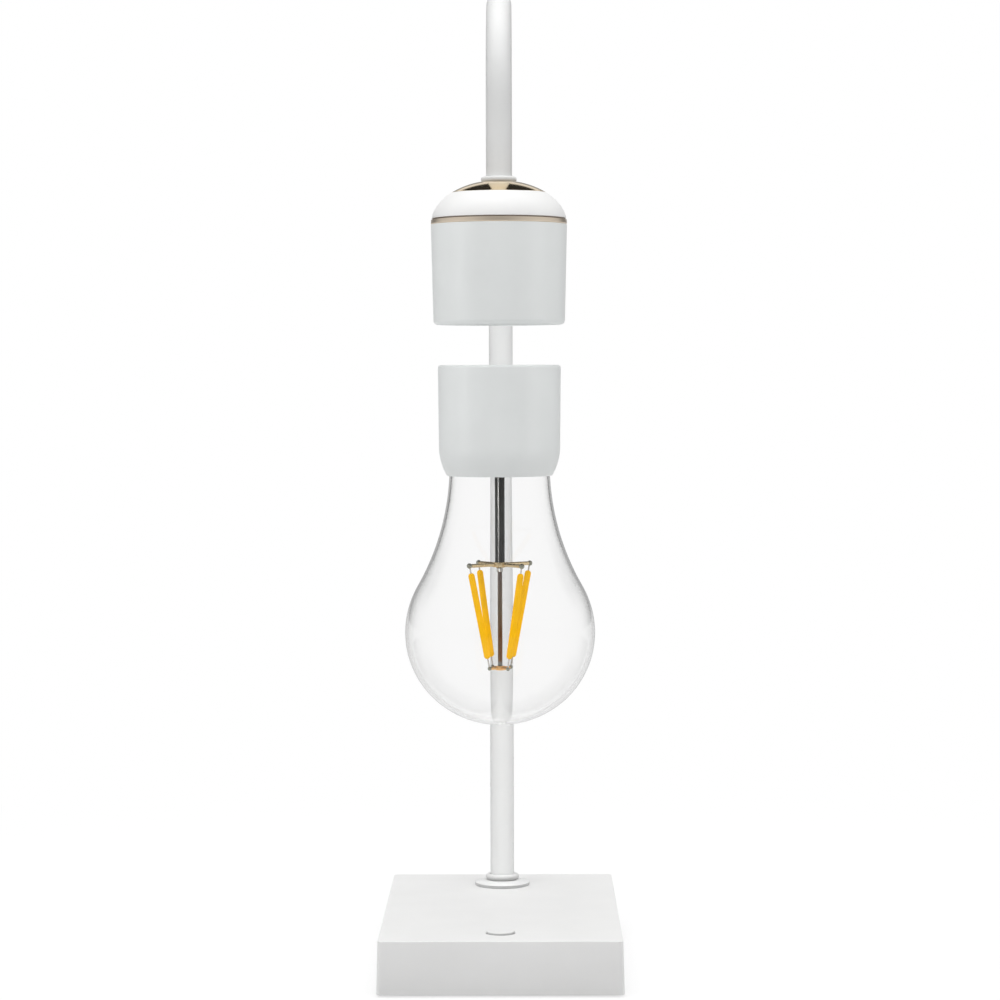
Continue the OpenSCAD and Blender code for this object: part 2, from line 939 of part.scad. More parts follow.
// Flat coil that sends power across the air gap
module transmit_coil() {
    color("peru")
        on_axis(head_floor_z)
            washer(coil_od / 2, coil_id / 2, coil_t);
}

// Magnet that carries the bulb
module bulb_magnet() {
    color("silver")
        on_axis(magnet_z)
            cylinder(d = magnet_d, h = magnet_t);
}

// White cap of the floating bulb, open at the bottom, with a seat for the sealing ring of the neck
module bulb_cap() {
    mouth_in = mouth_glass_r + 2 * slip;
    color("white")
        on_axis(0)
            lathe(concat(
                [[0, cap_top]],
                arc_pts(cap_r - cap_edge_r, cap_top - cap_edge_r, cap_edge_r, 90, 0),
                arc_pts(cap_low_r - skirt_arc_r, cap_skirt_z, skirt_arc_r, 0, -skirt_arc_a),
                [[mouth_in, cap_bot], [neck_hole_r, cap_skirt_z], [seat_r, cap_skirt_z], [seat_r, glass_top]],
                [[cap_bore_r, glass_top], [cap_bore_r, cap_roof_z], [0, cap_roof_z]]
            ));
}

// Flat coil that picks up power from the head
module pickup_coil() {
    color("peru")
        on_axis(tray_top)
            washer(tray_r - slip, pickup_id / 2, pickup_t);
}

// Tray that holds the magnet and the pickup coil above the driver board
module magnet_tray() {
    color("ivory")
        on_axis(0)
            lathe([
                [0, pocket_z - tray_deck],
                [tray_r - tray_skirt, pocket_z - tray_deck],
                [tray_r - tray_skirt, tray_bot],
                [tray_r, tray_bot],
                [tray_r, tray_top],
                [magnet_d / 2 + move_gap, tray_top],
                [magnet_d / 2 + move_gap, pocket_z],
                [0, pocket_z]
            ]);
}

// Driver board of the filaments
module driver_board() {
    color("seagreen")
        on_axis(driver_z)
            cylinder(r = tray_r, h = board_t);
}

// Parts soldered on the driver board
module driver_parts() {
    color("dimgray")
        on_axis(tray_bot) {
            translate([-chip_w, -chip_w / 2, 0])
                cube([chip_w, chip_w, chip_h]);
            translate([can_d, 0, 0])
                cylinder(d = can_d, h = can_h);
        }
}

// Plug that closes the neck and holds the stem
module stem_plug() {
    in_r = neck_r - glass_t - slip;
    color("ivory")
        on_axis(0)
            lathe([
                [stem_r + slip, glass_top - plug_l],
                [in_r, glass_top - plug_l],
                [in_r, glass_top],
                [tray_r, glass_top],
                [tray_r, driver_z],
                [stem_r + slip, driver_z]
            ]);
}

// Silicone ring that seals the glass neck in the cap
module neck_seal() {
    color("lightgray")
        on_axis(cap_skirt_z)
            washer(seat_r - slip, neck_r + slip, glass_top - cap_skirt_z);
}

// Clear glass envelope
module glass_bulb() {
    in_r = glass_r - glass_t;
    in_h = belly_h - glass_t;
    color("lightcyan", 0.4)
        on_axis(0)
            lathe(concat(
                oval_pts(glass_r, belly_h, belly_z, -90, 0),
                arc_pts(0, belly_z, glass_r, neck_a / steps, neck_a),
                arc_pts(neck_arc_x, neck_z, neck_arc_r, 180 + neck_a - neck_a / steps, 180),
                [[neck_r, glass_top], [neck_r - glass_t, glass_top]],
                arc_pts(neck_arc_x, neck_z, neck_arc_r + glass_t, 180, 180 + neck_a - neck_a / steps),
                arc_pts(0, belly_z, in_r, neck_a, neck_a / steps),
                oval_pts(in_r, in_h, belly_z, 0, -90)
            ));
}

// Metal stem tube from the plug to the upper cross, drawn in to the rod at its lower end
module stem_tube() {
    end_z = upper_z - hub_h / 2;
    nose_z = end_z - nose_h;
    nose_r = rod_r + slip;
    color("dimgray")
        on_axis(0)
            lathe([
                [nose_r, nose_z],
                [nose_r + nose_wall, nose_z],
                [stem_r, end_z],
                [stem_r, driver_z],
                [stem_r - stem_wall, driver_z],
                [stem_r - stem_wall, end_z]
            ]);
}

// Rod down the middle of the stem to the lower cross
module support_rod() {
    color("saddlebrown")
        on_axis(lower_z - low_hub_h / 2)
            cylinder(r = rod_r, h = driver_z - lower_z + low_hub_h / 2);
}

// Two crossing bars with a hub
module cross_shape(tip, r, hub_r, h, bore_r) {
    difference() {
        union() {
            for (a = [0, 90])
                rotate([0, 0, a + cross_turn])
                    translate([-tip, 0, 0])
                        rotate([0, 90, 0])
                            cylinder(r = r, h = 2 * tip);
            translate([0, 0, -h / 2])
                cylinder(r = hub_r, h = h);
        }
        translate([0, 0, -h])
            cylinder(r = bore_r, h = 2 * h);
    }
}

// Upper cross on the stem tube
module upper_cross() {
    color("goldenrod")
        on_axis(upper_z)
            cross_shape(upper_tip, bar_d / 2, hub_d / 2, hub_h, stem_r + slip / 2);
}

// Lower cross on the rod
module lower_cross() {
    color("goldenrod")
        on_axis(lower_z)
            cross_shape(lower_tip, low_bar_d / 2, low_hub_d / 2, low_hub_h, rod_r + slip / 2);
}

// A child at each of the four bar tips
module four_tips(tip, z) {
    for (a = [0 : 90 : 270])
        on_axis(z)
            rotate([0, 0, a + cross_turn])
                translate([tip, 0, 0])
                    children();
}

// A solder bead around the tip of a bar
module bead_shape(d, wire_d) {
    difference() {
        sphere(d = d);
        translate([-d, 0, 0])
            rotate([0, 90, 0])
                cylinder(d = wire_d, h = d);
    }
}

// Solder beads at the eight bar tips
module solder_beads() {
    color("gray") {
        four_tips(upper_tip, upper_z)
            bead_shape(bead_d, bar_d);
        four_tips(lower_tip, lower_z)
            bead_shape(low_bead_d, low_bar_d);
    }
}

// A child laid along each filament, its own Z running from the lower tip to the upper one
module four_wires() {
    four_tips(lower_tip, lower_z)
        rotate([0, wire_a, 0])
            children();
}

// Four coated filaments
module filaments() {
    color("orange")
        four_wires() {
            translate([0, 0, filament_s1 + filament_d / 2])
                cylinder(d = filament_d, h = filament_l - filament_d);
            for (s = [filament_s1 + filament_d / 2, filament_s2 - filament_d / 2])
                translate([0, 0, s])
                    sphere(d = filament_d);
        }
}

// Bare wire ends of the filaments
module filament_tabs() {
    color("gray")
        four_wires() {
            translate([0, 0, low_bead_d / 2])
                cylinder(d = tab_d, h = filament_s1 - low_bead_d / 2);
            translate([0, 0, filament_s2])
                cylinder(d = tab_d, h = wire_l - bead_d / 2 - filament_s2);
        }
}

base_shell();
bottom_plate();
case_screws();
rubber_feet();
ballast();
control_board();
board_parts();
board_screws();
dc_jack();
power_button();
switch_plunger();
tact_switch();
switch_board();
switch_screws();
switch_lead();
pole_flange();
pole_collar();
pole_tube();
pole_washer();
pole_nut();
pole_cable();
head_collar();
head_crown();
head_dome();
head_washer();
head_nut();
head_ring();
head_shell();
coil_spool();
coil_winding();
magnet_core();
sensor_board();
sensor_parts();
hall_sensor();
transmit_coil();
bulb_magnet();
bulb_cap();
pickup_coil();
magnet_tray();
driver_board();
driver_parts();
stem_plug();
neck_seal();
glass_bulb();
stem_tube();
support_rod();
upper_cross();
lower_cross();
solder_beads();
filaments();
filament_tabs();
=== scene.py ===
"""Looks of a levitating table lamp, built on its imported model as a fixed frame."""
import math

import bmesh
import bpy
from mathutils import Matrix, Vector


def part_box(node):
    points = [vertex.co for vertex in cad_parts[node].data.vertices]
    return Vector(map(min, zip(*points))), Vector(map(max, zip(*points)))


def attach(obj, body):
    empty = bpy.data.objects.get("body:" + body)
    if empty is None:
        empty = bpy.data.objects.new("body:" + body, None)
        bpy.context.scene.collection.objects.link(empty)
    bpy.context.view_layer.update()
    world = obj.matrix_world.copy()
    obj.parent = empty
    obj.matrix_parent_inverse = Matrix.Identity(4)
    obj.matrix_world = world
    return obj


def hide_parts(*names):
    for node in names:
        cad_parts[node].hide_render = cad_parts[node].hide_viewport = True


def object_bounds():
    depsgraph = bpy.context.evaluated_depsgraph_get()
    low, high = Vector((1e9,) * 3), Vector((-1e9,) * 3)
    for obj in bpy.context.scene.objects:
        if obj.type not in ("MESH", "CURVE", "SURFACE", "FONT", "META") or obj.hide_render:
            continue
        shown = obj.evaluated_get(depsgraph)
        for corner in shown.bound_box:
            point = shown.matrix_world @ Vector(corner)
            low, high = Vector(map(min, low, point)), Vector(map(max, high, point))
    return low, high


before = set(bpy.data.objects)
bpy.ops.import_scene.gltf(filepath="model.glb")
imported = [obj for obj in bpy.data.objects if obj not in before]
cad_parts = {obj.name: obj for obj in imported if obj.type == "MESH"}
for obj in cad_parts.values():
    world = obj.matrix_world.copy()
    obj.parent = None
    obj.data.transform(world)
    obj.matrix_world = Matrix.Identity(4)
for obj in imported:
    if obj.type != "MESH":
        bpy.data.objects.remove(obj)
CAD_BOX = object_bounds()

bl_info = {
    "name": "Levitating table lamp",
    "version": (1, 0, 0),
    "blender": (4, 5, 0),
    "location": "View3D > Sidebar > Lamp",
    "description": "Pieces, finishes and studio of a lamp whose bulb floats under its head",
    "category": "Add Mesh",
}

MM = 0.001
TAU = 2 * math.pi
FINE = 144  # sides of a turned piece
SHARP = 32  # degrees past which an edge is shaded sharp
SLIP = 0.1 * MM  # room between a piece and what goes into it
NOISE = (0.3, 0.7)  # span in which most noise values lie
TINY = 1e-7  # metres below which two points are one
WHITE = (1, 1, 1, 1)


def low(node):
    """Lowest height of a node."""
    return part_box(node)[0].z


def high(node):
    """Greatest height of a node."""
    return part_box(node)[1].z


def half_width(node):
    """Half of a node's width, the radius of a turned piece."""
    lowest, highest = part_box(node)
    return (highest.x - lowest.x) / 2


def centre(node):
    """Where the upright axis of a turned node stands."""
    lowest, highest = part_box(node)
    return (lowest.x + highest.x) / 2, (lowest.y + highest.y) / 2


class LampSizes(bpy.types.PropertyGroup):
    """Sizes of the lamp that the pieces are drawn from"""

    base_edge: bpy.props.FloatProperty(
        name="Base edge", description="Rounding of the top edge of the base",
        default=0.35 * MM, unit="LENGTH")
    base_corner: bpy.props.FloatProperty(
        name="Base corner", description="Corner radius of the base in plan",
        default=1.3 * MM, unit="LENGTH")
    base_flare: bpy.props.FloatProperty(
        name="Base flare", description="How far each side of the base stands out at its foot",
        default=0.4 * MM, unit="LENGTH")
    button_hole: bpy.props.FloatProperty(
        name="Button hole", description="Radius of the hole that the button moves in",
        default=4.6 * MM, unit="LENGTH")
    inlet_hole: bpy.props.FloatProperty(
        name="Inlet hole", description="Radius of the hole for the power plug",
        default=4 * MM, unit="LENGTH")
    inlet_seat: bpy.props.FloatProperty(
        name="Inlet seat", description="Radius of the shallow seat round the inlet",
        default=5.8 * MM, unit="LENGTH")
    tube_radius: bpy.props.FloatProperty(
        name="Tube radius", description="Outside radius of the bent tube",
        default=half_width("pole_tube"), unit="LENGTH")
    arch_radius: bpy.props.FloatProperty(
        name="Arch radius", description="Centre line radius of the arch",
        default=34 * MM, unit="LENGTH")
    disc_rim: bpy.props.FloatProperty(
        name="Disc rim", description="Thickness of the disc under the pole at its rim",
        default=1.1 * MM, unit="LENGTH")
    collar_edge: bpy.props.FloatProperty(
        name="Collar edge", description="Rounding of the two tube collars",
        default=0.85 * MM, unit="LENGTH")
    dome_rise: bpy.props.FloatProperty(
        name="Dome rise", description="Rise of the curve that crown and dome share",
        default=13.9 * MM, unit="LENGTH")
    crown_radius: bpy.props.FloatProperty(
        name="Crown radius", description="Radius of the metal crown at its rim",
        default=half_width("head_crown"), unit="LENGTH")
    crown_flat: bpy.props.FloatProperty(
        name="Crown flat", description="Radius of the flat under the upper collar",
        default=7 * MM, unit="LENGTH")
    head_taper: bpy.props.FloatProperty(
        name="Head taper", description="How much narrower in radius the head is at its bottom",
        default=0.7 * MM, unit="LENGTH")
    head_edge: bpy.props.FloatProperty(
        name="Head edge", description="Rounding of the bottom edge of the head",
        default=1.4 * MM, unit="LENGTH")
    cap_mouth: bpy.props.FloatProperty(
        name="Cap mouth", description="Outside radius of the bulb cap at its mouth",
        default=16.6 * MM, unit="LENGTH")
    cap_skirt: bpy.props.FloatProperty(
        name="Cap skirt", description="Height of the curved in end of the bulb cap",
        default=9.3 * MM, unit="LENGTH")
    glass_wall: bpy.props.FloatProperty(
        name="Glass wall", description="Thickness of the blown glass",
        default=0.8 * MM, unit="LENGTH")
    glass_belly: bpy.props.FloatProperty(
        name="Glass belly", description="Height of the rounded lower half of the glass",
        default=29.1 * MM, unit="LENGTH")
    neck_radius: bpy.props.FloatProperty(
        name="Neck radius", description="Outside radius of the glass neck",
        default=15.8 * MM, unit="LENGTH")
    cross_turn: bpy.props.FloatProperty(
        name="Cross turn", description="Turn of the two crosses about the bulb's axis",
        default=math.radians(36), subtype="ANGLE")
    filament_length: bpy.props.FloatProperty(
        name="Filament length", description="Length of the coated part of a filament",
        default=28 * MM, unit="LENGTH")
    filament_radius: bpy.props.FloatProperty(
        name="Filament radius", description="Radius of the coated part of a filament",
        default=1 * MM, unit="LENGTH")


class LampColours(bpy.types.PropertyGroup):
    """Colours of the lamp's visible finishes"""

    moulding: bpy.props.FloatVectorProperty(
        name="Moulding", description="White moulding of the base, the button and the dome",
        default=(0.86, 0.86, 0.855), subtype="COLOR", min=0, max=1)
    cool_moulding: bpy.props.FloatVectorProperty(
        name="Cool moulding", description="Cooler moulding of the head shell and the bulb cap",
        default=(0.84, 0.862, 0.857), subtype="COLOR", min=0, max=1)
    enamel: bpy.props.FloatVectorProperty(
        name="Enamel", description="White enamel of the tube, its disc and collars",
        default=(0.87, 0.875, 0.87), subtype="COLOR", min=0, max=1)
    gilt: bpy.props.FloatVectorProperty(
        name="Gilt", description="Pale gold plating of the crown",
        default=(0.85, 0.68, 0.44), subtype="COLOR", min=0, max=1)
    band: bpy.props.FloatVectorProperty(
        name="Band", description="Satin gold of the band under the dome",
        default=(0.86, 0.74, 0.60), subtype="COLOR", min=0, max=1)
    stem: bpy.props.FloatVectorProperty(
        name="Stem", description="Polished metal of the stem tube",
        default=(0.05, 0.05, 0.048), subtype="COLOR", min=0, max=1)
    rod: bpy.props.FloatVectorProperty(
        name="Rod", description="Drawn wire of the rod where heat has browned it",
        default=(0.17, 0.078, 0.03), subtype="COLOR", min=0, max=1)
    bars: bpy.props.FloatVectorProperty(
        name="Bars", description="Plated bars of the two crosses",
        default=(0.66, 0.52, 0.31), subtype="COLOR", min=0, max=1)
    coating: bpy.props.FloatVectorProperty(
        name="Coating", description="Yellow coating of the filaments",
        default=(0.88, 0.47, 0.001), subtype="COLOR", min=0, max=1)


class LampStudio(bpy.types.PropertyGroup):
    """Light and camera of the studio"""

    overhead: bpy.props.FloatProperty(
        name="Overhead", description="Power of the large soft box above",
        default=105.0, unit="POWER")
    left: bpy.props.FloatProperty(
        name="Left", description="Power of the soft box at the left",
        default=2.4, unit="POWER")
    right: bpy.props.FloatProperty(
        name="Right", description="Power of the soft box at the right",
        default=1.85, unit="POWER")
    glint: bpy.props.FloatProperty(
        name="Glint", description="Power of the strip that draws a bright line on the stem",
        default=13.0, unit="POWER")
    fill: bpy.props.FloatProperty(
        name="Fill", description="Power of the narrow lamp in front that lights only the tube",
        default=0.025, unit="POWER")
    ambient: bpy.props.FloatProperty(
        name="Ambient", description="Level of the even light from all round",
        default=0.29, min=0, max=2)
    lens: bpy.props.FloatProperty(
        name="Lens", description="Focal length of the camera on a 36 mm sensor, in millimetres",
        default=104.4, min=20, max=300)
    camera_place: bpy.props.FloatVectorProperty(
        name="Camera", description="Where the camera stands",
        default=(0.00676, -0.9424, 0.1904), subtype="TRANSLATION")
    camera_yaw: bpy.props.FloatProperty(
        name="Yaw", description="Turn of the camera to the right",
        default=-0.0073, subtype="ANGLE")
    camera_pitch: bpy.props.FloatProperty(
        name="Pitch", description="Tilt of the camera below the horizon",
        default=0.0427, subtype="ANGLE")
    camera_roll: bpy.props.FloatProperty(
        name="Roll", description="Turn of the camera about its line of sight",
        default=-0.003, subtype="ANGLE")


# Outlines and meshes


def arc(x, z, r, start, end, count=16):
    """Points of a circular arc in the turning plane, angles in degrees."""
    step = math.radians(end - start) / count
    first = math.radians(start)
    return [(x + r * math.cos(first + step * i), z + r * math.sin(first + step * i))
            for i in range(count + 1)]


def oval(rx, rz, z, start, end, count=28):
    """Points of an ellipse in the turning plane, angles in radians."""
    step = (end - start) / count
    return [(rx * math.cos(start + step * i), z + rz * math.sin(start + step * i))
            for i in range(count + 1)]


def soften(corners, count=5):
    """Points of an outline whose corners (radius, height, rounding) are rounded."""
    points = []
    last = len(corners) - 1
    for i, (x, z, rounding) in enumerate(corners):
        here = Vector((x, z))
        if rounding <= 0 or i in (0, last):
            points.append((x, z))
            continue
        back = (Vector(corners[i - 1][:2]) - here).normalized()
        on = (Vector(corners[i + 1][:2]) - here).normalized()
        angle = back.angle(on)
        reach = rounding / math.tan(angle / 2)
        middle = here + (back + on).normalized() * (rounding / math.sin(angle / 2))
        first = here + back * reach - middle
        turn = first.angle_signed(here + on * reach - middle)
        for k in range(count + 1):
            spoke = first.copy()
            spoke.rotate(Matrix.Rotation(-turn * k / count, 2))
            points.append(tuple(middle + spoke))
    return points


def shade(mesh, angle=SHARP):
    """Smooth shading that keeps edges sharper than the angle, in degrees."""
    mesh.polygons.foreach_set("use_smooth", [True] * len(mesh.polygons))
    mesh.set_sharp_from_angle(angle=math.radians(angle))
    mesh.update()
    return mesh


def as_mesh(bm, name, angle=SHARP):
    """A finished mesh from working geometry, faces outwards."""
    bmesh.ops.remove_doubles(bm, verts=bm.verts, dist=TINY)
    bmesh.ops.recalc_face_normals(bm, faces=bm.faces)
    mesh = bpy.data.meshes.new(name)
    bm.to_mesh(mesh)
    bm.free()
    return shade(mesh, angle)


def skin(bm, rings, loop=False):
    """Faces between neighbouring rings of vertices; a ring of one vertex is a pole."""
    pairs = list(zip(rings, rings[1:]))
    if loop:
        pairs.append((rings[-1], rings[0]))
    for a, b in pairs:
        if len(a) == 1 and len(b) == 1:
            continue
        count = max(len(a), len(b))
        for k in range(count):
            after = (k + 1) % count
            if len(a) == 1:
                bm.faces.new((a[0], b[k], b[after]))
            elif len(b) == 1:
                bm.faces.new((a[after], a[k], b[0]))
            else:
                bm.faces.new((a[after], a[k], b[k], b[after]))


def turned(name, outline, axis=(0, 0), loop=False, sides=FINE, angle=SHARP, place=None):
    """A turned piece: the outline of (radius, height) points swept round an upright axis."""
    bm = bmesh.new()
    rings = []
    for r, z in outline:
        if r < TINY:
            rings.append([bm.verts.new((axis[0], axis[1], z))])
            continue
        rings.append([bm.verts.new((axis[0] + r * math.cos(TAU * k / sides),
                                    axis[1] + r * math.sin(TAU * k / sides), z))
                      for k in range(sides)])
    skin(bm, rings, loop)
    if place is not None:
        bmesh.ops.transform(bm, matrix=place, verts=bm.verts)
    return as_mesh(bm, name, angle)


def joined(name, meshes):
    """One mesh from several."""
    bm = bmesh.new()
    for mesh in meshes:
        bm.from_mesh(mesh)
    return as_mesh(bm, name)


def rounded_ring(bm, width, length, corner, z, count=12):
    """Vertices of a level rectangle with round corners."""
    ring = []
    for turn, sx, sy in ((0, 1, 1), (90, -1, 1), (180, -1, -1), (270, 1, -1)):
        for i in range(count + 1):
            a = math.radians(turn + 90 * i / count)
            ring.append(bm.verts.new((sx * (width / 2 - corner) + corner * math.cos(a),
                                      sy * (length / 2 - corner) + corner * math.sin(a), z)))
    return ring


def put(name, data):
    """A new object at the origin of the scene."""
    thing = bpy.data.objects.new(name, data)
    bpy.context.scene.collection.objects.link(thing)
    return thing


def plain_mesh(thing, name):
    """The evaluated mesh of an object, which is then removed."""
    bpy.context.view_layer.update()
    ready = thing.evaluated_get(bpy.context.evaluated_depsgraph_get())
    mesh = bpy.data.meshes.new_from_object(ready)
    mesh.name = name
    bpy.data.objects.remove(thing)
    return mesh


def carved(mesh, cutters, name):
    """A mesh with the cutters' shapes taken out of it."""
    work = put(name + "_work", mesh)
    tools = [put(name + "_cutter", cutter) for cutter in cutters]
    for tool in tools:
        cut = work.modifiers.new("Cut", "BOOLEAN")
        cut.operation = "DIFFERENCE"
        cut.solver = "EXACT"
        cut.object = tool
    done = plain_mesh(work, name)
    for tool in tools:
        bpy.data.objects.remove(tool)
    if not done.polygons:
        raise RuntimeError("nothing is left of " + name)
    return shade(done)


def fit(name, mesh, body, node, finish=None):
    """A finished piece on its body, in the place of its node; its finish goes by name."""
    if not mesh.polygons:
        raise RuntimeError(name + " has no faces")
    if finish is not None:
        mesh.materials.clear()
        mesh.materials.append(finish_of(finish))
    piece = put(name, mesh)
    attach(piece, body)
    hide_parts(node)
    return piece


# Node trees for what repeats or follows a path


def add(tree, kind, inputs=None, **settings):
    """The outputs of a new node; an input takes a plain value or another node's output."""
    made = tree.nodes.new(kind)
    for key, value in settings.items():
        setattr(made, key, value)
    for key, value in (inputs or {}).items():
        if isinstance(value, bpy.types.NodeSocket):
            tree.links.new(value, made.inputs[key])
        else:
            made.inputs[key].default_value = value
    return made.outputs


def new_tree(name, inputs):
    """An empty tree, the identifiers of its named inputs, and the sockets they come in by."""
    tree = bpy.data.node_groups.new(name, "GeometryNodeTree")
    tree.interface.new_socket("Geometry", in_out="OUTPUT", socket_type="NodeSocketGeometry")
    tree.interface.new_socket("Geometry", in_out="INPUT", socket_type="NodeSocketGeometry")
    keys = {}
    for label, kind in (*inputs, ("Finish", "Material")):
        socket = tree.interface.new_socket(label, in_out="INPUT", socket_type="NodeSocket" + kind)
        keys[label] = socket.identifier
    return tree, keys, add(tree, "NodeGroupInput")


def finish_tree(tree, start, geometry):
    """The end that every tree shares: real geometry with its finish."""
    real = add(tree, "GeometryNodeRealizeInstances", {"Geometry": geometry})
    painted = add(tree, "GeometryNodeSetMaterial", {
        "Geometry": real["Geometry"], "Material": start["Finish"]})
    add(tree, "NodeGroupOutput", {"Geometry": painted["Geometry"]})


def tube_tree():
    """A round tube along the path that comes in."""
    tree, keys, start = new_tree("Tube along a path", (("Radius", "Float"), ("Sides", "Int")))
    ring = add(tree, "GeometryNodeCurvePrimitiveCircle", {
        "Radius": start["Radius"], "Resolution": start["Sides"]}, mode="RADIUS")
    sweep = add(tree, "GeometryNodeCurveToMesh", {
        "Curve": start["Geometry"], "Profile Curve": ring["Curve"], "Fill Caps": True})
    smooth = add(tree, "GeometryNodeSetShadeSmooth", {"Geometry": sweep["Mesh"]})
    finish_tree(tree, start, smooth["Geometry"])
    return tree, keys


def round_tree():
    """Copies of a shape turned about an upright axis."""
    tree, keys, start = new_tree("Copies round an axis", (
        ("Count", "Int"), ("First Turn", "Float"), ("Axis Place", "Vector")))
    spots = add(tree, "GeometryNodePoints", {
        "Count": start["Count"], "Position": start["Axis Place"]})
    share = add(tree, "ShaderNodeMath", {
        0: add(tree, "GeometryNodeInputIndex")["Index"], 1: start["Count"]}, operation="DIVIDE")
    turn = add(tree, "ShaderNodeMath", {
        0: share["Value"], 1: TAU, 2: start["First Turn"]}, operation="MULTIPLY_ADD")
    angles = add(tree, "ShaderNodeCombineXYZ", {"Z": turn["Value"]})
    rotation = add(tree, "FunctionNodeEulerToRotation", {"Euler": angles["Vector"]})
    copies = add(tree, "GeometryNodeInstanceOnPoints", {
        "Points": spots["Points"], "Instance": start["Geometry"],
        "Rotation": rotation["Rotation"]})
    finish_tree(tree, start, copies["Instances"])
    return tree, keys


def corner_tree():
    """Copies of a shape at the four corners of a level rectangle."""
    tree, keys, start = new_tree("Copies at four corners", (
        ("Spacing X", "Float"), ("Spacing Y", "Float")))
    grid = add(tree, "GeometryNodeMeshGrid", {
        "Size X": start["Spacing X"], "Size Y": start["Spacing Y"],
        "Vertices X": 2, "Vertices Y": 2})
    copies = add(tree, "GeometryNodeInstanceOnPoints", {
        "Points": grid["Mesh"], "Instance": start["Geometry"]})
    finish_tree(tree, start, copies["Instances"])
    return tree, keys


def grown(name, data, tree_and_keys, values):
    """The plain mesh that a tree makes from a curve or a mesh."""
    tree, keys = tree_and_keys
    work = put(name + "_work", data)
    step = work.modifiers.new("Shape", "NODES")
    step.node_group = tree
    for label, value in values.items():
        step[keys[label]] = value
    return shade(plain_mesh(work, name))


# Finishes


def blank(name):
    """A material with an empty node tree."""
    finish = bpy.data.materials.new(name)
    finish.use_nodes = True
    finish.node_tree.nodes.clear()
    return finish, finish.node_tree


def show(tree, inputs, **more):
    """The shader of a finish on its output."""
    shader = add(tree, "ShaderNodeBsdfPrincipled", inputs)
    add(tree, "ShaderNodeOutputMaterial", {"Surface": shader["BSDF"], **more})


def where(tree, axis=None, space="Object"):
    """The place of a point, or how far it lies along one axis."""
    spot = add(tree, "ShaderNodeTexCoord")[space]
    if axis is None:
        return spot
    return add(tree, "ShaderNodeSeparateXYZ", {"Vector": spot})[axis]


def speckle(tree, scale, detail=4.0, stretch=None):
    """Noise in the object's own space; scale counts per metre."""
    spot = where(tree)
    if stretch is not None:
        spot = add(tree, "ShaderNodeMapping", {"Vector": spot, "Scale": stretch})["Vector"]
    return add(tree, "ShaderNodeTexNoise", {
        "Vector": spot, "Scale": scale, "Detail": detail})["Fac"]


def ranged(tree, value, start, end, least=0.0, most=1.0, smooth=False):
    """A value brought from one range into another."""
    return add(tree, "ShaderNodeMapRange", {
        "Value": value, "From Min": start, "From Max": end, "To Min": least, "To Max": most},
        interpolation_type="SMOOTHSTEP" if smooth else "LINEAR")["Result"]


def spread(tree, noise, least, most):
    """A noise value brought into a range."""
    return ranged(tree, noise, *NOISE, least, most)


def picked(tree, value, stops):
    """A colour picked along a row of (position, colour) stops."""
    ramp = tree.nodes.new("ShaderNodeValToRGB")
    tree.links.new(value, ramp.inputs["Fac"])
    row = ramp.color_ramp.elements
    row[0].position, row[1].position = stops[0][0], stops[-1][0]
    for position, _ in stops[1:-1]:
        row.new(position)
    for element, (_, colour) in zip(row, stops):
        element.color = (*colour, 1)
    return ramp.outputs["Color"]


def tints(tree, noise, dark, light):
    """A colour between two tints that follows a noise value."""
    return picked(tree, noise, tuple(zip(NOISE, (dark, light))))


def shift(colour, factor):
    """A colour made lighter or darker."""
    return tuple(min(1.0, max(0.0, c * factor)) for c in colour)


def relief(tree, height, depth, strength):
    """A normal that follows a fine height, its depth in metres."""
    return add(tree, "ShaderNodeBump", {
        "Strength": strength, "Distance": depth, "Height": height})["Normal"]


def painted_light_by_height(tree, colour, start, end, least):
    """A colour toned down at one height and plain from another on: light or shade painted by
    height.
    """
    share = ranged(tree, where(tree, "Z"), start, end, least, smooth=True)
    return add(tree, "ShaderNodeVectorMath", {0: colour, "Scale": share},
               operation="SCALE")["Vector"]


def surface(name, colour, metal=0.0, rough=(0.35, 0.42), cloud=60, change=0.012,
            grain=2200, depth=4e-6, strength=0.25, stretch=None, tone=None, **sockets):
    """A finish with slow colour change, uneven gloss and a fine surface; a tone, where given,
    paints light or shade on it by height.
    """
    finish, tree = blank(name)
    tint = tints(tree, speckle(tree, cloud, 3.0), shift(colour, 1 - change),
                 shift(colour, 1 + change))
    if tone is not None:
        tint = painted_light_by_height(tree, tint, *tone)
    fine = speckle(tree, grain, 5.0, stretch)
    show(tree, {
        "Base Color": tint, "Roughness": spread(tree, fine, *rough),
        "Normal": relief(tree, fine, depth, strength), "Metallic": metal,
        **{label.replace("_", " "): value for label, value in sockets.items()}})
    return finish


def wound(name, colour, pitch):
    """Enamelled wire laid turn beside turn, one above the other, darker in the grooves between
    turns as painted shade.
    """
    finish, tree = blank(name)
    turns = add(tree, "ShaderNodeTexWave", {
        "Vector": where(tree), "Scale": TAU / 20 / pitch, "Distortion": 0.4},
        wave_type="BANDS", bands_direction="Z")["Fac"]
    show(tree, {
        "Base Color": tints(tree, turns, shift(colour, 0.45), colour),
        "Roughness": spread(tree, speckle(tree, 900), 0.22, 0.34),
        "Normal": relief(tree, turns, pitch / 3, 0.8), "Metallic": 0.9})
    return finish


def circuit(name, mask, copper):
    """Solder mask with the faint lines of tracks under it."""
    finish, tree = blank(name)
    tracks = add(tree, "ShaderNodeTexBrick", {
        "Vector": where(tree), "Scale": 420, "Mortar Size": 0.035, "Color1": (*mask, 1),
        "Color2": (*shift(mask, 0.85), 1), "Mortar": (*copper, 1)})
    show(tree, {
        "Base Color": tracks["Color"],
        "Roughness": spread(tree, speckle(tree, 1500), 0.28, 0.4),
        "Normal": relief(tree, tracks["Fac"], 2e-5, 0.4)})
    return finish


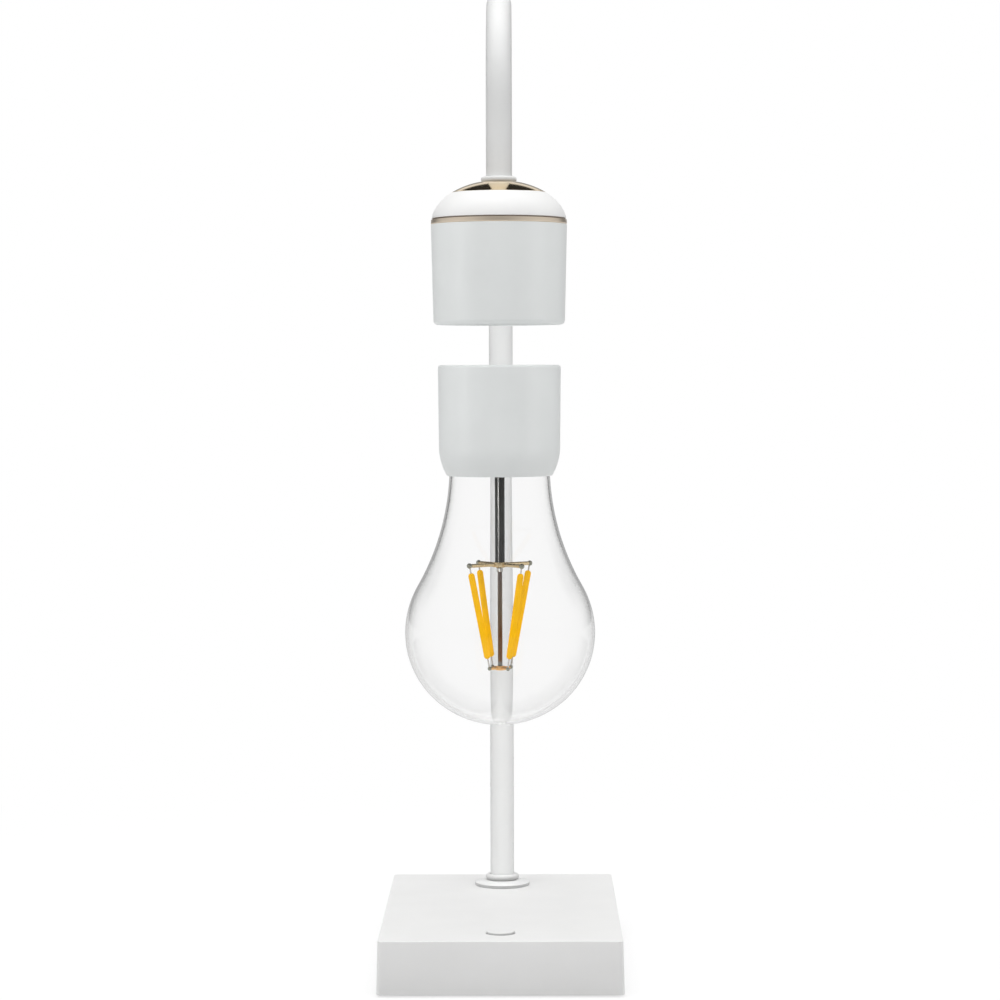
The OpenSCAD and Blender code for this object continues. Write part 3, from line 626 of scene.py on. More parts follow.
def drawn_rod(name, bottom, top, stops):
    """Drawn wire that is browned by heat towards its lower end."""
    finish, tree = blank(name)
    fine = speckle(tree, 1600, 5.0, DRAWN)
    show(tree, {
        "Base Color": picked(tree, ranged(tree, where(tree, "Z"), bottom, top), stops),
        "Roughness": spread(tree, fine, 0.24, 0.36),
        "Normal": relief(tree, fine, 4e-6, 0.25), "Metallic": 1.0})
    return finish


def clear_glass(name):
    """Thin blown glass that dims where the eye looks along its wall."""
    finish, tree = blank(name)
    dim = add(tree, "ShaderNodeVolumeAbsorption", {"Color": (0.5, 0.5, 0.485, 1), "Density": 50})
    show(tree, {
        "Base Color": (1, 1, 1, 1), "Transmission Weight": 1.0, "IOR": 1.3,
        "Roughness": spread(tree, speckle(tree, 45, 2.0), 0.0, 0.004)}, Volume=dim["Volume"])
    return finish


# What several finishes share
DRAWN = (1, 1, 0.05)
SATIN = {"rough": (0.36, 0.44), "Specular_IOR_Level": 0.3}
MATT = {"rough": (0.58, 0.66), "Specular_IOR_Level": 0.15}
ENAMEL = {"rough": (0.27, 0.34), "grain": 700, "depth": 3e-6}
SOFT_ENAMEL = {**ENAMEL, "Specular_IOR_Level": 0.15}
PLATED = {"metal": 1.0, "rough": (0.2, 0.3), "change": 0.06, "grain": 1500, "depth": 3e-6}
SHEATH = {"grain": 900, "depth": 1.5e-5}
# The stem's nose is painted lighter than its shaft: a painted highlight.
NOSE_PAINTED_HIGHLIGHT = 9  # times that the nose of the stem is lighter than its shaft


def finish_book(colours):
    """Every finish of the lamp by its name.

    A tone is painted light: a height that takes it, a height where the colour is plain, and the
    share left.
    """
    base_top, disc, collar = high("base_shell"), low("pole_flange"), low("pole_collar")
    cross = low("upper_cross")
    rod_end, rod_top = (0.2, 0.21, 0.19), (0.14, 0.115, 0.11)
    return {
        "white_plastic": surface("White satin moulding", colours.moulding, **SATIN),
        "cool_plastic": surface("Cool white moulding", colours.cool_moulding, **SATIN),
        # The top of the base is toned darker than its sides: painted shade for the soft shadow of
        # the bulb and head.
        "base_plastic": surface(
            "White matt moulding", colours.moulding, **MATT,
            tone=(base_top - 0.05 * MM, base_top - 0.35 * MM, 0.945)),
        # The button is a darker copy of the moulding and is darker still along its side: painted
        # shade.
        "button_plastic": surface(
            "White matt button", shift(colours.moulding, 0.945), **MATT,
            tone=(base_top + 0.4 * MM, base_top + 0.66 * MM, 0.68)),
        "white_paint": surface("White enamel", colours.enamel, **SOFT_ENAMEL),
        # The upper collar is a darker copy of the enamel: painted shade.
        "upper_collar_paint": surface(
            "White enamel of the upper collar", shift(colours.enamel, 0.962), **SOFT_ENAMEL),
        # The disc is a lighter copy of the enamel, painted light, and its rim is toned dark as
        # painted shade.
        "disc_paint": surface(
            "White enamel of the disc", shift(colours.enamel, 1.037), **ENAMEL,
            tone=(disc + 0.8 * MM, disc + 1.14 * MM, 0.58)),
        # The lower collar takes the darker moulding colour in place of the enamel and is toned
        # dark towards its foot: painted shade.
        "collar_paint": surface(
            "White enamel of the lower collar", colours.moulding, **ENAMEL,
            tone=(collar + 0.3 * MM, high("pole_collar"), 0.54)),
        "gold": surface(
            "Pale gold plating", colours.gilt, metal=1.0, rough=(0.08, 0.13), change=0.03,
            grain=1800, depth=1e-6, strength=0.15),
        "gold_band": surface(
            "Satin gold band", colours.band, metal=1.0, rough=(0.28, 0.36), change=0.03,
            grain=2400, depth=1.5e-6, strength=0.2, stretch=(1, 1, 6)),
        # The faces of the groove over the band take a dark brown: painted shade in the gap between
        # dome and band.
        "groove_shade": surface(
            "Painted shade of the groove over the band", (0.34, 0.27, 0.21), rough=(0.6, 0.75), change=0.1,
            grain=1500, depth=6e-6),
        "glass": clear_glass("Clear blown glass"),
        "steel": surface(
            "Plain steel", (0.42, 0.42, 0.43), metal=1.0, rough=(0.3, 0.46), change=0.08,
            grain=1500, depth=6e-6),
        "plate_plastic": surface(
            "Grained plate moulding", (0.66, 0.66, 0.655), rough=(0.5, 0.62), change=0.02,
            grain=1600, depth=2.5e-5, strength=0.5),
        "foot_rubber": surface(
            "Foot rubber", (0.045, 0.045, 0.046), rough=(0.7, 0.85), change=0.15,
            grain=1100, depth=3e-5, strength=0.5),
        "board": circuit("Circuit board", (0.012, 0.10, 0.045), (0.05, 0.2, 0.09)),
        "black_plastic": surface(
            "Black moulding", (0.012, 0.012, 0.013), rough=(0.38, 0.5), change=0.2,
            grain=1800, depth=1.2e-5),
        "ivory_plastic": surface(
            "Ivory moulding", (0.72, 0.67, 0.52), rough=(0.4, 0.5), change=0.03),
        "copper": wound("Enamelled copper wire", (0.62, 0.24, 0.08), 0.35 * MM),
        "cable": surface(
            "Cable sheath", (0.05, 0.05, 0.053), rough=(0.5, 0.62), change=0.1, **SHEATH),
        "lead": surface(
            "Lead sheath", (0.28, 0.012, 0.01), rough=(0.42, 0.55), change=0.08, **SHEATH),
        "nickel": surface(
            "Nickel plating", (0.63, 0.6, 0.56), metal=1.0, rough=(0.18, 0.28), change=0.04,
            grain=1500, depth=3e-6),
        "silicone": surface(
            "Silicone", (0.7, 0.7, 0.68), rough=(0.45, 0.55), change=0.03, grain=800, depth=8e-6),
        # The stem is toned down to its dark colour above the upper cross and its nose is left
        # lighter: a painted highlight on the nose.
        "stem_metal": surface(
            "Polished stem", shift(colours.stem, NOSE_PAINTED_HIGHLIGHT), metal=1.0, rough=(0.18, 0.24),
            change=0.04, grain=1400, depth=2e-6, stretch=DRAWN,
            tone=(cross, cross - 0.4 * MM, 1 / NOSE_PAINTED_HIGHLIGHT)),
        "rod_metal": drawn_rod("Drawn rod", low("lower_cross"), low("stem_tube"), (
            (0.0, rod_end), (0.07, rod_end), (0.10, colours.rod), (0.35, colours.rod),
            (0.6, (0.15, 0.115, 0.075)), (1.0, rod_top))),
        "bar_metal": surface("Plated bar", colours.bars, **PLATED),
        "low_bar_metal": surface("Copper plated bar", (0.86, 0.52, 0.22), **PLATED),
        "solder": surface(
            "Dull solder", (0.33, 0.33, 0.27), metal=1.0, rough=(0.32, 0.5), change=0.15,
            cloud=900, grain=1900, depth=3e-5, strength=0.4),
        # The coating has a faint orange glow of its own though no filament is lit: painted light
        # that brightens its yellow.
        "phosphor": surface(
            "Filament coating", colours.coating, rough=(0.6, 0.75), cloud=260, change=0.05,
            grain=1300, depth=2.5e-5, strength=0.35, Specular_IOR_Level=0.0,
            Emission_Color=(1.0, 0.52, 0.0, 1), Emission_Strength=0.06),
    }


FINISHES = {}


def finish_of(name):
    """A finish by its name; all are made the first time one is asked for."""
    if not FINISHES:
        FINISHES.update(finish_book(bpy.context.scene.lamp_colours))
    return FINISHES[name]


# Pieces of the base


class LAMP_OT_base(bpy.types.Operator):
    """Moulded base shell with its button hole, pole hole and inlet"""

    bl_idname = "lamp.base"
    bl_label = "Base shell"

    def execute(self, context):
        sizes = context.scene.lamp_sizes
        lowest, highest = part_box("base_shell")
        flare, edge, corner = sizes.base_flare, sizes.base_edge, sizes.base_corner
        width = highest.x - lowest.x - 2 * flare
        length = highest.y - lowest.y - 2 * flare
        top, foot = highest.z, lowest.z
        plate_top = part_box("ballast")[0].z
        wall, plate_wall = 2.2 * MM, 1.2 * MM
        rim, soft = 0.4 * MM, 0.25 * MM
        roof = top - wall
        bm = bmesh.new()

        def ring(inset, rounding, z):
            return rounded_ring(bm, width - 2 * inset, length - 2 * inset, rounding, z)

        rings = [ring(edge + rim, corner - edge - rim, top)]
        for i in range(11):
            a = math.radians(90 - 9 * i)
            inset = edge * (1 - math.cos(a))
            rings.append(ring(inset, corner - inset, top - edge + edge * math.sin(a)))
        rings += [ring(-flare, corner, foot + soft),
                  ring(0.3 * soft - flare, corner, foot + 0.3 * soft),
                  ring(soft - flare, corner, foot)]
        rings += [ring(plate_wall, 2 * MM, foot), ring(plate_wall, 2 * MM, plate_top),
                  ring(wall, MM, plate_top), ring(wall, MM, roof)]
        skin(bm, rings)
        bm.faces.new(rings[0])
        bm.faces.new(reversed(rings[-1]))
        shell = as_mesh(bm, "base_case")

        hole, lip = sizes.button_hole, 0.2 * MM
        button_hole = turned("button_hole", [
            (0, roof - 2 * MM), (hole, roof - 2 * MM), (hole, top - lip),
            (hole + 0.4 * lip, top - 0.4 * lip), (hole + lip, top), (hole + lip, top + MM),
            (0, top + MM)], axis=centre("power_button"), sides=96)
        bore = sizes.tube_radius + SLIP
        pole_hole = turned("pole_hole", [
            (0, roof - MM), (bore, roof - MM), (bore, top + MM), (0, top + MM)],
            axis=centre("pole_flange"), sides=96)
        lowest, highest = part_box("dc_jack")
        jack, back = highest.y, length / 2
        sunk, ease = back - 0.2 * MM, 0.15 * MM
        inlet, seat = sizes.inlet_hole, sizes.inlet_seat
        lay = (Matrix.Translation((0, 0, (lowest.z + highest.z) / 2))
               @ Matrix.Rotation(-TAU / 4, 4, "X"))
        inlet_hole = turned("inlet_hole", [
            (0, jack - MM), (inlet, jack - MM), (inlet, sunk - ease), (inlet + ease, sunk),
            (seat, sunk), (seat, back + 2 * MM), (0, back + 2 * MM)], sides=96, place=lay)
        case = carved(shell, [button_hole, pole_hole, inlet_hole], "base_case")
        fit("base_case", case, "lamp", "base_shell", "base_plastic")
        return {"FINISHED"}


class LAMP_OT_underside(bpy.types.Operator):
    """Rubber feet and case screws under the base"""

    bl_idname = "lamp.underside"
    bl_label = "Feet and screws"

    def execute(self, context):
        corners = corner_tree()

        def at_corners(name, mesh, node, slot, radius):
            lowest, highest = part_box(node)
            done = grown(name, mesh, corners, {
                "Spacing X": highest.x - lowest.x - 2 * radius,
                "Spacing Y": highest.y - lowest.y - 2 * radius,
                "Finish": finish_of(slot)})
            fit(name, done, "lamp", node)

        bottom, top = low("rubber_feet"), high("rubber_feet")
        radius, hollow = 4.5 * MM, 0.12 * MM
        foot = turned("foot", [(0, bottom + hollow)] + soften([
            (radius - 1.6 * MM, bottom + hollow, 0), (radius - 1.2 * MM, bottom, 0.1 * MM),
            (radius, bottom, 0.35 * MM), (radius, top, 0.1 * MM), (0, top, 0)]), sides=64)
        at_corners("foot_pads", foot, "rubber_feet", "foot_rubber", radius)

        bottom, top = low("case_screws"), high("case_screws")
        head, core, pitch = 2.3 * MM, 1.2 * MM, 0.5 * MM
        thread = []
        z = bottom + 1.9 * MM
        while z < top - 1.2 * MM:
            thread += [(core, z), (core * 0.82, z + pitch / 2)]
            z += pitch
        screw = turned("screw", [(0, bottom)] + soften([
            (0, bottom, 0), (head, bottom, 0.08 * MM), (core, bottom + 1.3 * MM, 0)])
            + thread + [(core * 0.5, top - 0.4 * MM), (0, top)], sides=48)
        slots = []
        for turn in (0, 90):
            bm = bmesh.new()
            bmesh.ops.create_cube(bm, size=1, matrix=Matrix.Rotation(math.radians(turn), 4, "Z")
                                  @ Matrix.Diagonal((2.4 * MM, 0.5 * MM, 1.4 * MM, 1)))
            bmesh.ops.translate(bm, verts=bm.verts, vec=(0, 0, bottom))
            slots.append(as_mesh(bm, "slot"))
        at_corners("case_screw_set", carved(screw, slots, "screw"), "case_screws", "steel", head)
        return {"FINISHED"}


class LAMP_OT_button(bpy.types.Operator):
    """Round push button on the base"""

    bl_idname = "lamp.button"
    bl_label = "Push button"

    def execute(self, context):
        bottom, top = low("power_button"), high("power_button")
        rim, rim_top = half_width("power_button"), bottom + MM
        radius = 4.35 * MM
        button = turned("push_button", [(0, bottom)] + soften([
            (0, bottom, 0), (rim, bottom, 0.1 * MM), (rim, rim_top, 0.1 * MM),
            (radius, rim_top, 0.05 * MM), (radius, top, 0.4 * MM),
            (radius - MM, top, 0), (0, top - 0.06 * MM, 0)], count=8),
            axis=centre("power_button"), sides=112)
        fit("push_button", button, "button", "power_button", "button_plastic")
        return {"FINISHED"}


# Pieces of the pole


class LAMP_OT_tube(bpy.types.Operator):
    """Bent tube: pole, arch and arm in one piece"""

    bl_idname = "lamp.tube"
    bl_label = "Bent tube"

    def execute(self, context):
        sizes = context.scene.lamp_sizes
        lowest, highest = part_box("pole_tube")
        radius, arch = sizes.tube_radius, sizes.arch_radius
        pole_y, arm_y = highest.y - radius, lowest.y + radius
        spring = highest.z - radius - arch
        past_nut = 0.8 * MM
        arm_end = low("head_nut") - past_nut
        up, over, down = 12, 72, 4
        points = [(0, pole_y, lowest.z + (spring - lowest.z) * i / up) for i in range(up)]
        points += [(0, pole_y - arch + arch * math.cos(a), spring + arch * math.sin(a))
                   for a in (math.pi * i / over for i in range(over + 1))]
        points += [(0, arm_y, spring + (arm_end - spring) * i / down) for i in range(1, down + 1)]
        path = bpy.data.curves.new("tube_path", "CURVE")
        path.dimensions = "3D"
        line = path.splines.new("POLY")
        line.points.add(len(points) - 1)
        for spot, place in zip(line.points, points):
            spot.co = (*place, 1)
        tube = grown("bent_tube", path, tube_tree(), {
            "Radius": radius, "Sides": 72, "Finish": finish_of("white_paint")})
        piece = fit("bent_tube", tube, "lamp", "pole_tube")
        keep_sides_off(piece)
        list_piece(piece, "pole_fill")
        return {"FINISHED"}


class LAMP_OT_collars(bpy.types.Operator):
    """Disc at the foot of the pole and the two collars on the tube"""

    bl_idname = "lamp.collars"
    bl_label = "Disc and collars"

    def execute(self, context):
        sizes = context.scene.lamp_sizes
        edge, ease = sizes.collar_edge, 0.12 * MM
        bore = sizes.tube_radius + SLIP
        bottom, top = low("pole_flange"), high("pole_flange")
        radius, inner = half_width("pole_flange"), half_width("pole_collar")
        disc = turned("pole_disc", soften([
            (bore, bottom, 0), (radius - ease, bottom, 0), (radius, bottom + ease, 0.05 * MM),
            (radius, bottom + sizes.disc_rim, 0.3 * MM), (inner, top, 0.8 * MM),
            (bore, top, 0)], count=7), axis=centre("pole_flange"), loop=True)
        fit("pole_disc", disc, "lamp", "pole_flange", "disc_paint")
        for name, node, paint in (("lower_collar", "pole_collar", "collar_paint"),
                                  ("upper_collar", "head_collar", "upper_collar_paint")):
            bottom, top, radius = low(node), high(node), half_width(node)
            collar = turned(name, [(bore, bottom)]
                            + arc(radius - edge, bottom + edge, edge, -90, 0)
                            + arc(radius - edge, top - edge, edge, 0, 90)
                            + [(bore, top)], axis=centre(node), loop=True)
            fit(name, collar, "lamp", node, paint)
        return {"FINISHED"}


# Pieces of the head


class LAMP_OT_head(bpy.types.Operator):
    """Metal crown, white dome, metal band and head shell"""

    bl_idname = "lamp.head"
    bl_label = "Head"

    def execute(self, context):
        sizes = context.scene.lamp_sizes
        axis = centre("head_shell")
        radius, rise = half_width("head_shell"), sizes.dome_rise
        seam, bottom = high("head_shell"), low("head_shell")
        crest = high("head_crown")
        thick = 0.8 * MM
        bore = sizes.tube_radius + SLIP
        rim_angle = math.acos(sizes.crown_radius / radius)
        flat_angle = math.acos(sizes.crown_flat / radius)
        rim_z = seam + rise * math.sin(rim_angle)
        under_r, under_b = radius - thick, rise - thick
        rim = oval(radius, rise, seam, flat_angle, rim_angle)
        rim_r = rim[-1][0]
        crown = turned("gilt_crown", [(bore, crest)] + rim[:-1] + [
            (rim_r - 0.03 * MM, rim_z + 0.06 * MM), (rim_r - 0.10 * MM, rim_z + 0.01 * MM)]
            + oval(under_r, under_b, seam, math.asin((rim_z - seam) / under_b),
                   math.asin((crest - thick - seam) / under_b))
            + [(bore, crest - thick)], axis=axis, loop=True)
        keep_sides_off(fit("gilt_crown", crown, "lamp", "head_crown", "gold"))

        band_top = high("head_ring")
        start = math.asin((band_top - seam) / rise)
        spigot = radius - sizes.head_taper - 1.9 * MM
        foot = low("head_dome")
        inner = spigot - 1.6 * MM
        roof = high("head_washer")
        seat_r, seat_b, seat_z = under_r - SLIP, under_b - SLIP, crest - thick - SLIP
        nut_seat = 7.5 * MM
        inner_b = (roof - band_top) / math.sqrt(1 - (nut_seat / inner) ** 2)
        edge_r = radius * math.cos(start)
        curve = oval(radius, rise, seam, start, rim_angle)
        dome = turned("white_dome", [(spigot, foot), (spigot, band_top)]
                      + soften([(spigot, band_top, 0), (edge_r, band_top, 0.12 * MM),
                                curve[1] + (0,)], count=4)[1:-1]
                      + curve[1:]
                      + oval(seat_r, seat_b, seam, math.asin((rim_z - seam) / seat_b),
                             math.asin((seat_z - seam) / seat_b))
                      + [(bore, seat_z), (bore, roof)]
                      + oval(inner, inner_b, band_top, math.acos(nut_seat / inner), 0)
                      + [(inner, foot)], axis=axis, loop=True)
        fit("white_dome", dome, "lamp", "head_dome", "white_plastic")

        hollow = radius - sizes.head_taper - 1.8 * MM
        ease, groove = 0.25 * MM, 0.4 * MM
        band = turned("gilt_band", soften([
            (hollow, seam, 0), (radius - ease, seam, 0.08 * MM), (radius, seam + ease, 0.2 * MM),
            (edge_r + ease / 2, band_top - groove, 0.1 * MM),
            (edge_r - groove, band_top - 0.8 * groove, 0.05 * MM), (edge_r - groove, band_top, 0),
            (hollow, band_top, 0)], count=5), axis=axis, loop=True)
        keep_sides_off(fit("gilt_band", band, "lamp", "head_ring", "gold_band"))
        # The groove faces take the dark groove finish: painted shade in the gap between dome and
        # band.
        band.materials.append(finish_of("groove_shade"))
        for face in band.polygons:
            away = math.hypot(face.center.x - axis[0], face.center.y - axis[1])
            if face.center.z > band_top - 0.9 * groove and away < edge_r:
                face.material_index = 1

        low_r, edge = radius - sizes.head_taper, sizes.head_edge
        floor = bottom + 1.6 * MM
        shell = turned("head_case", [(0, bottom)]
                       + arc(low_r - edge, bottom + edge, edge, -90, 0)
                       + soften([(low_r, bottom + edge, 0), (radius, seam, 0.15 * MM),
                                 (hollow, seam, 0.1 * MM), (hollow, floor, 0.4 * MM),
                                 (0, floor, 0)])[1:], axis=axis)
        fit("head_case", shell, "lamp", "head_shell", "cool_plastic")
        return {"FINISHED"}


# Pieces of the floating bulb


class LAMP_OT_cap(bpy.types.Operator):
    """White cap of the floating bulb"""

    bl_idname = "lamp.cap"
    bl_label = "Bulb cap"

    def execute(self, context):
        sizes = context.scene.lamp_sizes
        top, bottom = high("bulb_cap"), low("bulb_cap")
        radius = half_width("bulb_cap")
        skirt = bottom + sizes.cap_skirt
        low_r = radius - 0.25 * MM
        tuck = low_r - sizes.cap_mouth
        sweep = (tuck ** 2 + sizes.cap_skirt ** 2) / (2 * tuck)
        bend = math.degrees(math.asin(sizes.cap_skirt / sweep))
        edge, ease = 0.9 * MM, 0.08 * MM
        neck_hole = sizes.neck_radius + 0.2 * MM
        seat = neck_hole + 0.6 * MM
        bore = low_r - 1.8 * MM
        ledge = high("glass_bulb")
        roof = top - 1.6 * MM
        cap = turned("bulb_cap_case", [(0, top)]
                     + arc(radius - edge, top - edge, edge, 90, 0)
                     + arc(low_r - sweep, skirt, sweep, 0, -bend, 24)[:-1]
                     + soften([(sizes.cap_mouth + 0.03 * MM, bottom + ease, 0),
                               (sizes.cap_mouth, bottom, ease),
                               (neck_hole + ease, bottom, ease), (neck_hole, skirt, 0),
                               (seat, skirt, 0), (seat, ledge, 0), (bore, ledge, 0),
                               (bore, roof, 0.5 * MM), (0, roof, 0)])[1:],
                     axis=centre("bulb_cap"))
        fit("bulb_cap_case", cap, "bulb", "bulb_cap", "cool_plastic")
        return {"FINISHED"}


class LAMP_OT_glass(bpy.types.Operator):
    """Clear glass envelope: a round belly and a long hollow curve to the neck"""

    bl_idname = "lamp.glass"
    bl_label = "Glass"

    def execute(self, context):
        sizes = context.scene.lamp_sizes
        bottom, top = low("glass_bulb"), high("glass_bulb")
        radius, wall = half_width("glass_bulb"), sizes.glass_wall
        belly, neck = sizes.glass_belly, sizes.neck_radius
        middle = bottom + belly
        shoulder = low("bulb_cap") + 3.6 * MM
        rise = shoulder - middle
        hollow = (neck ** 2 + rise ** 2 - radius ** 2) / (2 * (radius - neck))
        away = neck + hollow
        turn = math.degrees(math.atan2(rise, away))
        rim = [(neck - across * wall, top - down * wall)
               for across, down in ((0, 0.3), (0.2, 0.05), (0.5, 0), (0.8, 0.05), (1, 0.3))]
        outside = (oval(radius, belly, middle, -TAU / 4, 0, 48)
                   + arc(0, middle, radius, 0, turn, 20)[1:]
                   + arc(away, shoulder, hollow, 180 + turn, 180, 36)[1:])
        inside = (arc(away, shoulder, hollow + wall, 180, 180 + turn, 36)
                  + arc(0, middle, radius - wall, turn, 0, 20)[1:]
                  + oval(radius - wall, belly - wall, middle, 0, -TAU / 4, 48)[1:])
        glass = turned("glass_envelope", outside + rim + inside, axis=centre("glass_bulb"),
                       sides=192, angle=50)
        piece = fit("glass_envelope", glass, "bulb", "glass_bulb", "glass")
        piece.visible_shadow = False
        keep_sides_off(piece)
        return {"FINISHED"}


# Node, piece and finish of a cross, then in millimetres the reach and radius of its arms, the
# radius, bore and height of its hub, and the radius of its solder beads
CROSSES = (
    ("upper_cross", "upper_bars", "bar_metal", 11.7, 0.6, 2.45, 1.6, 1.6, 0.85),
    ("lower_cross", "lower_bars", "low_bar_metal", 4.1, 0.45, 1.425, 0.775, 1.4, 0.6375),
)


class LAMP_OT_cage(bpy.types.Operator):
    """Stem, rod, crosses, solder beads and leaning filaments inside the glass"""

    bl_idname = "lamp.cage"
    bl_label = "Filament cage"

    def execute(self, context):
        sizes = context.scene.lamp_sizes
        axis = centre("stem_tube")
        ring = round_tree()

        def around(name, mesh, node, finish, extra=()):
            done = grown(name, mesh, ring, {
                "Count": 4, "First Turn": sizes.cross_turn, "Axis Place": (*axis, 0),
                "Finish": finish_of(finish)})
            if extra:
                done = joined(name, [done, *extra])
            fit(name, done, "bulb", node, finish)

        bottom, top, outer = low("stem_tube"), high("stem_tube"), half_width("stem_tube")
        nose, shoulder = half_width("support_rod") + SLIP, bottom + 1.5 * MM
        tip, wall = nose + 0.15 * MM, outer - 0.3 * MM
        stem = turned("stem_sleeve", soften([
            (nose, bottom, 0), (tip, bottom, 0.05 * MM), (tip, shoulder - 0.4 * MM, 0.15 * MM),
            (outer, shoulder, 0.15 * MM), (outer, top, 0.1 * MM), (wall, top, 0),
            (wall, shoulder + 0.6 * MM, 0), (nose, shoulder + 0.2 * MM, 0)]),
            axis=axis, loop=True, sides=64)
        piece = fit("stem_sleeve", stem, "bulb", "stem_tube", "stem_metal")
        keep_sides_off(piece)
        list_piece(piece, "stem_glint")

        bottom, top, outer = low("support_rod"), high("support_rod"), half_width("support_rod")
        rod = turned("inner_rod", [(0, bottom)] + soften([
            (0, bottom, 0), (outer, bottom, 0.3 * MM), (outer, top, 0.1 * MM), (0, top, 0)]),
            axis=axis, sides=48)
        fit("inner_rod", rod, "bulb", "support_rod", "rod_metal")

        along = Matrix.Rotation(TAU / 4, 4, "Y")
        tips = {}
        for node, name, finish, *measures in CROSSES:
            reach, thick, hub, bore, tall, bead = (measure * MM for measure in measures)
            z = (low(node) + high(node)) / 2
            foot, head, root = z - tall / 2, z + tall / 2, hub * 0.8
            tips[node] = (reach, z, bead)
            arm = turned("arm", soften([
                (0, root, 0), (thick, root, 0), (thick, reach, 0.15 * MM), (0, reach, 0)]),
                sides=32, place=Matrix.Translation((0, 0, z)) @ along)
            boss = turned("boss", soften([
                (bore, foot, 0.05 * MM), (hub, foot, 0.2 * MM), (hub, head, 0.2 * MM),
                (bore, head, 0.05 * MM)]), axis=axis, loop=True, sides=64)
            around(name, arm, node, finish, [boss])

        drops = [turned("bead", oval(bead, bead, 0, -TAU / 4, TAU / 4, 16), sides=28,
                        place=Matrix.Translation((reach, 0, z)))
                 for reach, z, bead in tips.values()]
        around("solder_drops", joined("drops", drops), "solder_beads", "solder")

        (high_tip, high_z, high_bead), (low_tip, low_z, low_bead) = tips.values()
        lean = math.atan2(high_tip - low_tip, high_z - low_z)
        span = math.hypot(high_tip - low_tip, high_z - low_z)
        lay = Matrix.Translation((low_tip, 0, low_z)) @ Matrix.Rotation(lean, 4, "Y")
        length, thick = sizes.filament_length, sizes.filament_radius
        first = (span - length) * 0.58
        last = first + length
        straight, parts = length - 2 * thick, 24
        strip = turned("strip", arc(0, first + thick, thick, -90, 0, 10)
                       + [(thick, first + thick + straight * k / parts) for k in range(1, parts)]
                       + arc(0, last - thick, thick, 0, 90, 10), sides=32, angle=60, place=lay)
        around("filament_strips", strip, "filaments", "phosphor")

        wire, sunk, inside = 0.25 * MM, 0.1 * MM, 0.9
        tabs = [turned("tab", [(0, a), (wire, a), (wire, b), (0, b)], sides=16, place=lay)
                for a, b in ((low_bead * inside, first + sunk),
                             (last - sunk, span - high_bead * inside))]
        around("filament_wires", joined("tabs", tabs), "filament_tabs", "nickel")
        return {"FINISHED"}


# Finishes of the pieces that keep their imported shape


KEPT = {
    "plate_plastic": ("bottom_plate",),
    "steel": ("ballast", "board_screws", "switch_screws", "pole_washer", "pole_nut", "head_washer",
              "head_nut", "magnet_core"),
    "board": ("control_board", "switch_board", "sensor_board", "driver_board"),
    "black_plastic": ("board_parts", "dc_jack", "switch_plunger", "tact_switch", "sensor_parts",
                      "hall_sensor", "driver_parts"),
    "ivory_plastic": ("coil_spool", "magnet_tray", "stem_plug"),
    "copper": ("coil_winding", "transmit_coil", "pickup_coil"),
    "cable": ("pole_cable",),
    "lead": ("switch_lead",),
    "nickel": ("bulb_magnet",),
    "silicone": ("neck_seal",),
}


class LAMP_OT_inner_finishes(bpy.types.Operator):
    """Finishes of the plate, the jack and the inner pieces"""

    bl_idname = "lamp.inner_finishes"
    bl_label = "Inner finishes"

    def execute(self, context):
        for slot, nodes in KEPT.items():
            for node in nodes:
                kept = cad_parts[node]
                kept.data.materials.clear()
                kept.data.materials.append(finish_of(slot))
        return {"FINISHED"}


# Studio


def grey_row(tree, value, stops):
    """A grey picked along a row of (position, level) stops."""
    return picked(tree, value, [(position, (grey,) * 3) for position, grey in stops])


def mixed(tree, factor, one, other):
    """Two shaders mixed."""
    return add(tree, "ShaderNodeMixShader", {0: factor, 1: one, 2: other})["Shader"]


def of_two(tree, operation, one, other):
    """The outcome of a sum on two values."""
    return add(tree, "ShaderNodeMath", {0: one, 1: other}, operation=operation)["Value"]


def ray_kinds(tree):
    """The kinds of rays, which of them the eye sends out, and which a mirror has turned."""
    rays = add(tree, "ShaderNodeLightPath")
    seen = of_two(tree, "MAXIMUM", rays["Is Camera Ray"], rays["Is Transmission Ray"])
    return rays, seen, of_two(tree, "GREATER_THAN", rays["Glossy Depth"], 0.5)


def studio_world(level):
    """Even light, a white surround, and for reflections the bright and dark sides of a studio."""
    world = bpy.data.worlds.new("Studio")
    world.use_nodes = True
    tree = world.node_tree
    tree.nodes.clear()

    def backdrop(colour, strength=1.0):
        return add(tree, "ShaderNodeBackground", {
            "Color": colour, "Strength": strength})["Background"]

    depth = ranged(tree, where(tree, "Y", "Generated"), -1, 1)
    walls = grey_row(tree, depth, (
        (0.0, 0.28), (0.03, 0.34), (0.12, 0.60), (0.3, 0.68), (0.62, 0.68), (0.74, 0.62),
        (0.82, 0.35), (0.88, 0.12), (0.93, 0.12), (0.955, 0.50), (0.98, 0.45)))
    ceiling = grey_row(tree, depth, (
        (0.0, 0.5), (0.3, 0.65), (0.62, 0.65), (0.72, 0.03), (0.905, 0.03), (0.93, 0.85),
        (0.955, 0.85), (0.97, 0.22)))
    height = where(tree, "Z", "Generated")
    up = ranged(tree, height, 0.15, 0.40, smooth=True)
    down = ranged(tree, height, 0.05, -0.30, smooth=True)
    ground = (0.85, 0.85, 0.85, 1)
    room = mixed(tree, up, backdrop(walls), backdrop(ceiling))
    room = mixed(tree, down, room, backdrop(ground))
    _, seen, mirrored = ray_kinds(tree)
    lit = mixed(tree, seen, backdrop(WHITE, level), backdrop(WHITE))
    add(tree, "ShaderNodeOutputWorld", {"Surface": mixed(tree, mirrored, lit, room)})
    return world


